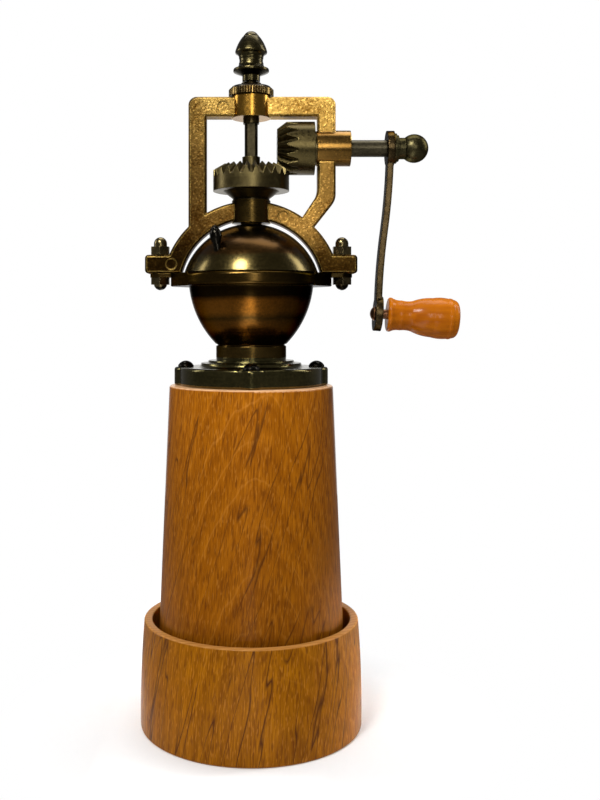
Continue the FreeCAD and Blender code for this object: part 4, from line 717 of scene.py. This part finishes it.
# %% Foot with four lobes
DISC_RADIUS = 28.0
LOBE_RADIUS = 4.5
LOBE_CENTRE = 25.7
LOBE_BLEND = 2.2
ROUND_UP_TO, LOBED_FROM = 22.0, 27.0
FOOT = [
    (13.5, 115.0, 0.2, 0.0),  # lower end of the spigot, inside
    (17.5, 115.0, 0.3, 0.0),  # lower end of the spigot, outside
    (17.5, 131.7, 0.1, 0.0),  # spigot meets the disc
    (DISC_RADIUS, 131.7, 0.9, 0.0),  # lower edge of the disc
    (DISC_RADIUS, 138.9, 1.2, 0.0),  # upper edge of the disc
    (21.2, 138.9, 0.1, -0.47),  # foot of the first step, a hollow
    (19.6, 140.5, 0.15, 0.0),  # edge of the first step
    (17.7, 140.5, 0.1, -0.29),  # foot of the second step, a hollow
    (16.7, 141.5, 0.15, 0.0),  # edge of the second step
    (13.8, 141.5, 0.1, 0.0),  # foot of the neck
    (13.8, 142.7, 0.1, 0.0),  # top of the neck, outside
    (12.6, 142.7, 0.05, 0.0),  # top of the neck, inside
    (12.6, 139.2, 0.05, 0.0),  # recess of the shaft guide
    (12.0, 139.2, 0.1, 0.0),  # shoulder under the shaft guide
    (12.0, 128.0, 0.1, 0.0),  # lower end of the neck's bore
    (13.5, 128.0, 0.1, 0.0),  # seat of the burr ring
]


def lobes(radius, angle):
    """Radius with lobes, in millimetres. A lobe is a circle whose centre lies on the nearest quarter turn,
    so its far side lies at centre x cos a + root(lobe squared - (centre x sin a) squared), with a from
    that quarter turn. The rim is the larger of that and the disc, blended where they are nearly equal;
    points move with it by a share that rises from 0 at the round part to 1 at the lobed part."""
    near = (angle + np.pi / 4) % (np.pi / 2) - np.pi / 4
    half_chord = np.sqrt(np.maximum(LOBE_RADIUS ** 2 - (LOBE_CENTRE * np.sin(near)) ** 2, 0.0))
    past_disc = LOBE_CENTRE * np.cos(near) + half_chord - DISC_RADIUS
    weight = np.clip(0.5 + 0.5 * past_disc / LOBE_BLEND, 0.0, 1.0)
    moved = past_disc * weight + LOBE_BLEND * weight * (1.0 - weight)
    share = np.clip((radius - ROUND_UP_TO) / (LOBED_FROM - ROUND_UP_TO), 0.0, 1.0)
    return radius + share * share * (3.0 - 2.0 * share) * moved


turned_piece("lobed_foot", outline(FOOT, True, 5), "base_flange", "mill", finishes["flange"],
             ring=True, columns=480, swell=lobes)

# %% [markdown]
# ## Grip
# The grip swells towards its end and has a waist near the arm, so that it sits in the fingers. It
# turns freely on its pin, so it is spun about the axis of that joint, which the frame gives.

# %% Grip
EYE_TO_GRIP = 0.0036
GRIP = [
    (1.95, 0.0, 0.1, 0.0),  # bore, at the arm
    (7.0, 0.0, 1.5, -0.35),  # edge at the arm, then a hollow
    (5.5, 7.5, 2.2, 0.42),  # waist
    (8.45, 20.6, 3.2, 0.22),  # thickest place
    (7.3, 27.9, 2.4, 0.0),  # far edge
    (3.7, 27.9, 0.3, 0.0),  # mouth of the recess for the pin's head
    (3.7, 24.9, 0.1, 0.0),  # floor of the recess
    (1.95, 24.9, 0.1, 0.0),  # bore, at the recess
]
grip_axis = np.array(joints["handle_spin"]["axis"])
grip_foot = np.array(joints["handle_spin"]["pos_m"]) + EYE_TO_GRIP * grip_axis
turned_piece("turned_grip", outline(GRIP, True), "handle_knob", "handle", handle_wood,
             tuple(grip_foot), tuple(grip_axis), True)

# %% [markdown]
# ## Finial
# The finial is an acorn on a thin collar, the lock nut on the spindle's end. It is a blind nut: the
# outline starts at the bottom of the threaded hole, comes out of its mouth and goes round the outside
# to the top. A sphere and a cone could be joined for it, but the hollows between them need a curve.

# %% Finial
FINIAL = [
    (0.0, 11.8, 0.0, 0.0),  # bottom of the hole
    (2.1, 11.8, 0.1, 0.0),  # edge of the hole's bottom
    (2.1, 0.0, 0.1, 0.0),  # mouth of the hole
    (3.5, 0.0, 0.2, 0.0),  # edge of the foot
    (3.5, 2.4, 0.2, 0.0),  # under the collar
    (7.05, 3.9, 0.25, 0.0),  # lower edge of the collar
    (7.05, 4.8, 0.25, -0.69),  # upper edge of the collar, then a hollow
    (4.65, 7.6, 0.3, 0.0),  # neck, lower end
    (4.65, 8.9, 0.3, -0.45),  # neck, upper end, then a hollow
    (6.3, 11.4, 0.25, 0.0),  # lower edge of the acorn
    (6.3, 12.1, 0.3, 0.27),  # thickest place of the acorn, then a swelling
    (3.5, 17.6, 0.25, 0.0),  # shoulder of the acorn
    (3.05, 17.6, 0.15, 0.0),  # foot of the tip
    (3.05, 18.2, 0.3, 0.455),  # edge of the tip, then a dome
    (0.0, 19.9, 0.0, 0.0),  # top
]
finial_foot = (0.0, 0.0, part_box("finial")[0].z)
turned_piece("turned_finial", outline(FINIAL), "finial", "spindle", finishes["turned"],
             finial_foot)

# %% [markdown]
# ## Ball nut
# The ball nut holds the arm on the crank's shaft. It is a blind nut as well, on its side: the outline
# ends at the neck, and an arc of a circle carries it on round the ball, which no row of corners would
# draw as truly.

# %% Ball nut
BALL_RADIUS = 5.6
BALL_CENTRE = 8.1
NECK_ANGLE = 48.6
BALL_NUT = [
    (0.0, 6.3, 0.0, 0.0),  # bottom of the hole
    (1.95, 6.3, 0.1, 0.0),  # edge of the hole's bottom
    (1.95, 0.0, 0.1, 0.0),  # mouth of the hole
    (5.9, 0.0, 0.25, 0.0),  # collar, against the arm
    (5.9, 1.1, 0.25, 0.0),  # collar, outer edge
    (5.2, 1.1, 0.05, 0.0),  # foot of the step
    (5.2, 1.9, 0.2, 0.0),  # edge of the step
    (4.2, 1.9, 0.1, 0.0),  # foot of the neck
    (4.2, 4.4, 0.0, 0.0),  # neck meets the ball
]
around = np.radians(np.linspace(NECK_ANGLE, 180.0, 30))
ball_arc = np.stack([BALL_RADIUS * np.sin(around), BALL_CENTRE - BALL_RADIUS * np.cos(around)], axis=1)
crank_line = joints["crank_turn"]
ball_foot = (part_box("ball_nut")[0].x, *crank_line["pos_m"][1:])
turned_piece("turned_ball_nut", np.concatenate([outline(BALL_NUT), ball_arc]), "ball_nut", "crank",
             finishes["ball"], ball_foot, crank_line["axis"])

# %% [markdown]
# ## Lamps
# The mill is lit softly from many sides, as in a white tent. The key lamp stands high beside the
# camera, so the upright cylinders get a bright line down the middle and keep dark edges. The side
# lamps draw a pale line on the edges of the wood and the metal, and two narrow low beams do the same
# for the cup. Round lamps leave no square corners in the polished brass.

# %% Lamps
def lamp(name, place, target, width, height, watts, spread=180.0):
    """A round soft lamp that looks at a target; spread is the angle of its beam in degrees."""
    light = bpy.data.lights.new(name, "AREA")
    light.shape = "ELLIPSE"
    light.size = width
    light.size_y = height
    light.energy = watts
    light.spread = math.radians(spread)
    made = bpy.data.objects.new(name, light)
    bpy.context.scene.collection.objects.link(made)
    aim = np.array(target) - np.array(place)
    yaw = math.atan2(aim[0], -aim[1])
    pitch = math.acos(-aim[2] / np.linalg.norm(aim))
    made.location = place
    made.rotation_euler = (pitch, 0.0, math.pi + yaw)
    print(name, watts, "W")


CUP_MIDDLE = (0.0, 0.0, 0.018)
FRAME_FOOT = (0.0, 0.0, 0.17)
lamp("key_lamp", (-0.10, -0.26, 0.43), (0.0, 0.0, 0.13), 0.12, 0.12, 1.4)
lamp("fill_lamp", (0.08, -0.88, 0.36), (0.0, 0.0, 0.16), 0.16, 0.40, 1.15)
lamp("top_lamp", (0.05, 0.15, 0.80), (0.0, 0.0, 0.18), 0.6, 0.4, 2.2)
lamp("right_lamp", (0.58, 0.12, 0.47), FRAME_FOOT, 0.14, 0.50, 1.5)
lamp("left_lamp", (-0.58, 0.10, 0.40), FRAME_FOOT, 0.10, 0.36, 0.7)
lamp("low_left_lamp", (-0.40, 0.13, 0.03), CUP_MIDDLE, 0.06, 0.04, 0.012, spread=14.0)
lamp("low_right_lamp", (0.40, 0.13, 0.03), CUP_MIDDLE, 0.06, 0.04, 0.030, spread=14.0)

# %% [markdown]
# ## Table
# The table is so brightly lit that it is plain white away from the mill, and only round the cup's foot
# does a soft shadow show. A white plane under strong lamps would burn out the mill as well, so the
# table glows by itself outside a small circle. What the mill sees of it is another matter: a bright
# pool before and behind the mill that fades to the sides, quicker on the right.

# %% Table
TABLE_REACH = 0.5
SHADOW_RADIUS, GLOW_RADIUS = 0.044, 0.10
POOL_HALF_WIDTH = 0.09
POOL_GLOW, SIDE_GLOW = 2.8, 0.22
QUICKER_ON_RIGHT = 2.1
floor_mesh = bpy.data.meshes.new("table")
table_corners = [(x * TABLE_REACH, y * TABLE_REACH, 0.0) for x, y in ((-1, -1), (1, -1), (1, 1), (-1, 1))]
floor_mesh.from_pydata(table_corners, [], [(0, 1, 2, 3)])
table = bpy.data.objects.new("table", floor_mesh)
bpy.context.scene.collection.objects.link(table)
pale, table_tree, matt = new_material("pale_table", Base_Color=(0.9, 0.9, 0.9, 1.0), Roughness=0.8)
spot = node(table_tree, "TexCoord").outputs["Object"]
rightward = part(table_tree, spot, 0)
aside = math_node(table_tree, "MAXIMUM", times(table_tree, rightward, QUICKER_ON_RIGHT),
                  times(table_tree, rightward, -1.0))
pool = map_range(table_tree, aside, 0.0, POOL_HALF_WIDTH, POOL_GLOW, SIDE_GLOW, smooth=True)
glow = math_node(table_tree, "MAXIMUM", node(table_tree, "LightPath").outputs["Is Camera Ray"], pool)
white = node(table_tree, "Emission", Color=(1.0, 1.0, 1.0, 1.0), Strength=glow)
away = vector_math(table_tree, "LENGTH", spot)
fade = map_range(table_tree, away, SHADOW_RADIUS, GLOW_RADIUS, smooth=True)
surface = node(table_tree, "MixShader", _0=fade, _1=matt.outputs[0], _2=white.outputs[0])
table_tree.links.new(surface.outputs[0], table_tree.nodes["Material Output"].inputs["Surface"])
floor_mesh.materials.append(pale)
print("table:", 2 * TABLE_REACH, "m wide")

# %% [markdown]
# ## Room
# The backdrop is white where the camera looks straight at it. The metal mirrors it only in a patch
# behind the mill, as a thin rim, and sees a dim room elsewhere, because polished brass looks pale and
# flat in an all-white room. The Light Path node tells the kinds of rays apart.

# %% Room
DIM_ROOM = 0.13
SOFT_LIGHT = 0.30
PATCH_EDGE, PATCH_MIDDLE = 0.87, 0.98
world = bpy.data.worlds.new("studio")
bpy.context.scene.world = world
world.use_nodes = True
room_tree = world.node_tree
room_tree.nodes.clear()
backward = part(room_tree, node(room_tree, "TexCoord").outputs["Generated"], 1)
back = map_range(room_tree, backward, PATCH_EDGE, PATCH_MIDDLE, DIM_ROOM, 1.0, smooth=True)
ray = node(room_tree, "LightPath").outputs
plain = times(room_tree, ray["Is Diffuse Ray"], SOFT_LIGHT)
mirror_ray = math_node(room_tree, "MAXIMUM", ray["Is Glossy Ray"], ray["Is Transmission Ray"])
indirect = math_node(room_tree, "MAXIMUM", plain, times(room_tree, mirror_ray, back))
strength = math_node(room_tree, "MAXIMUM", ray["Is Camera Ray"], indirect)
room = node(room_tree, "Background", Color=(1.0, 1.0, 1.0, 1.0), Strength=strength)
room_tree.links.new(room.outputs[0], node(room_tree, "OutputWorld").inputs["Surface"])
print("room:", world.name)
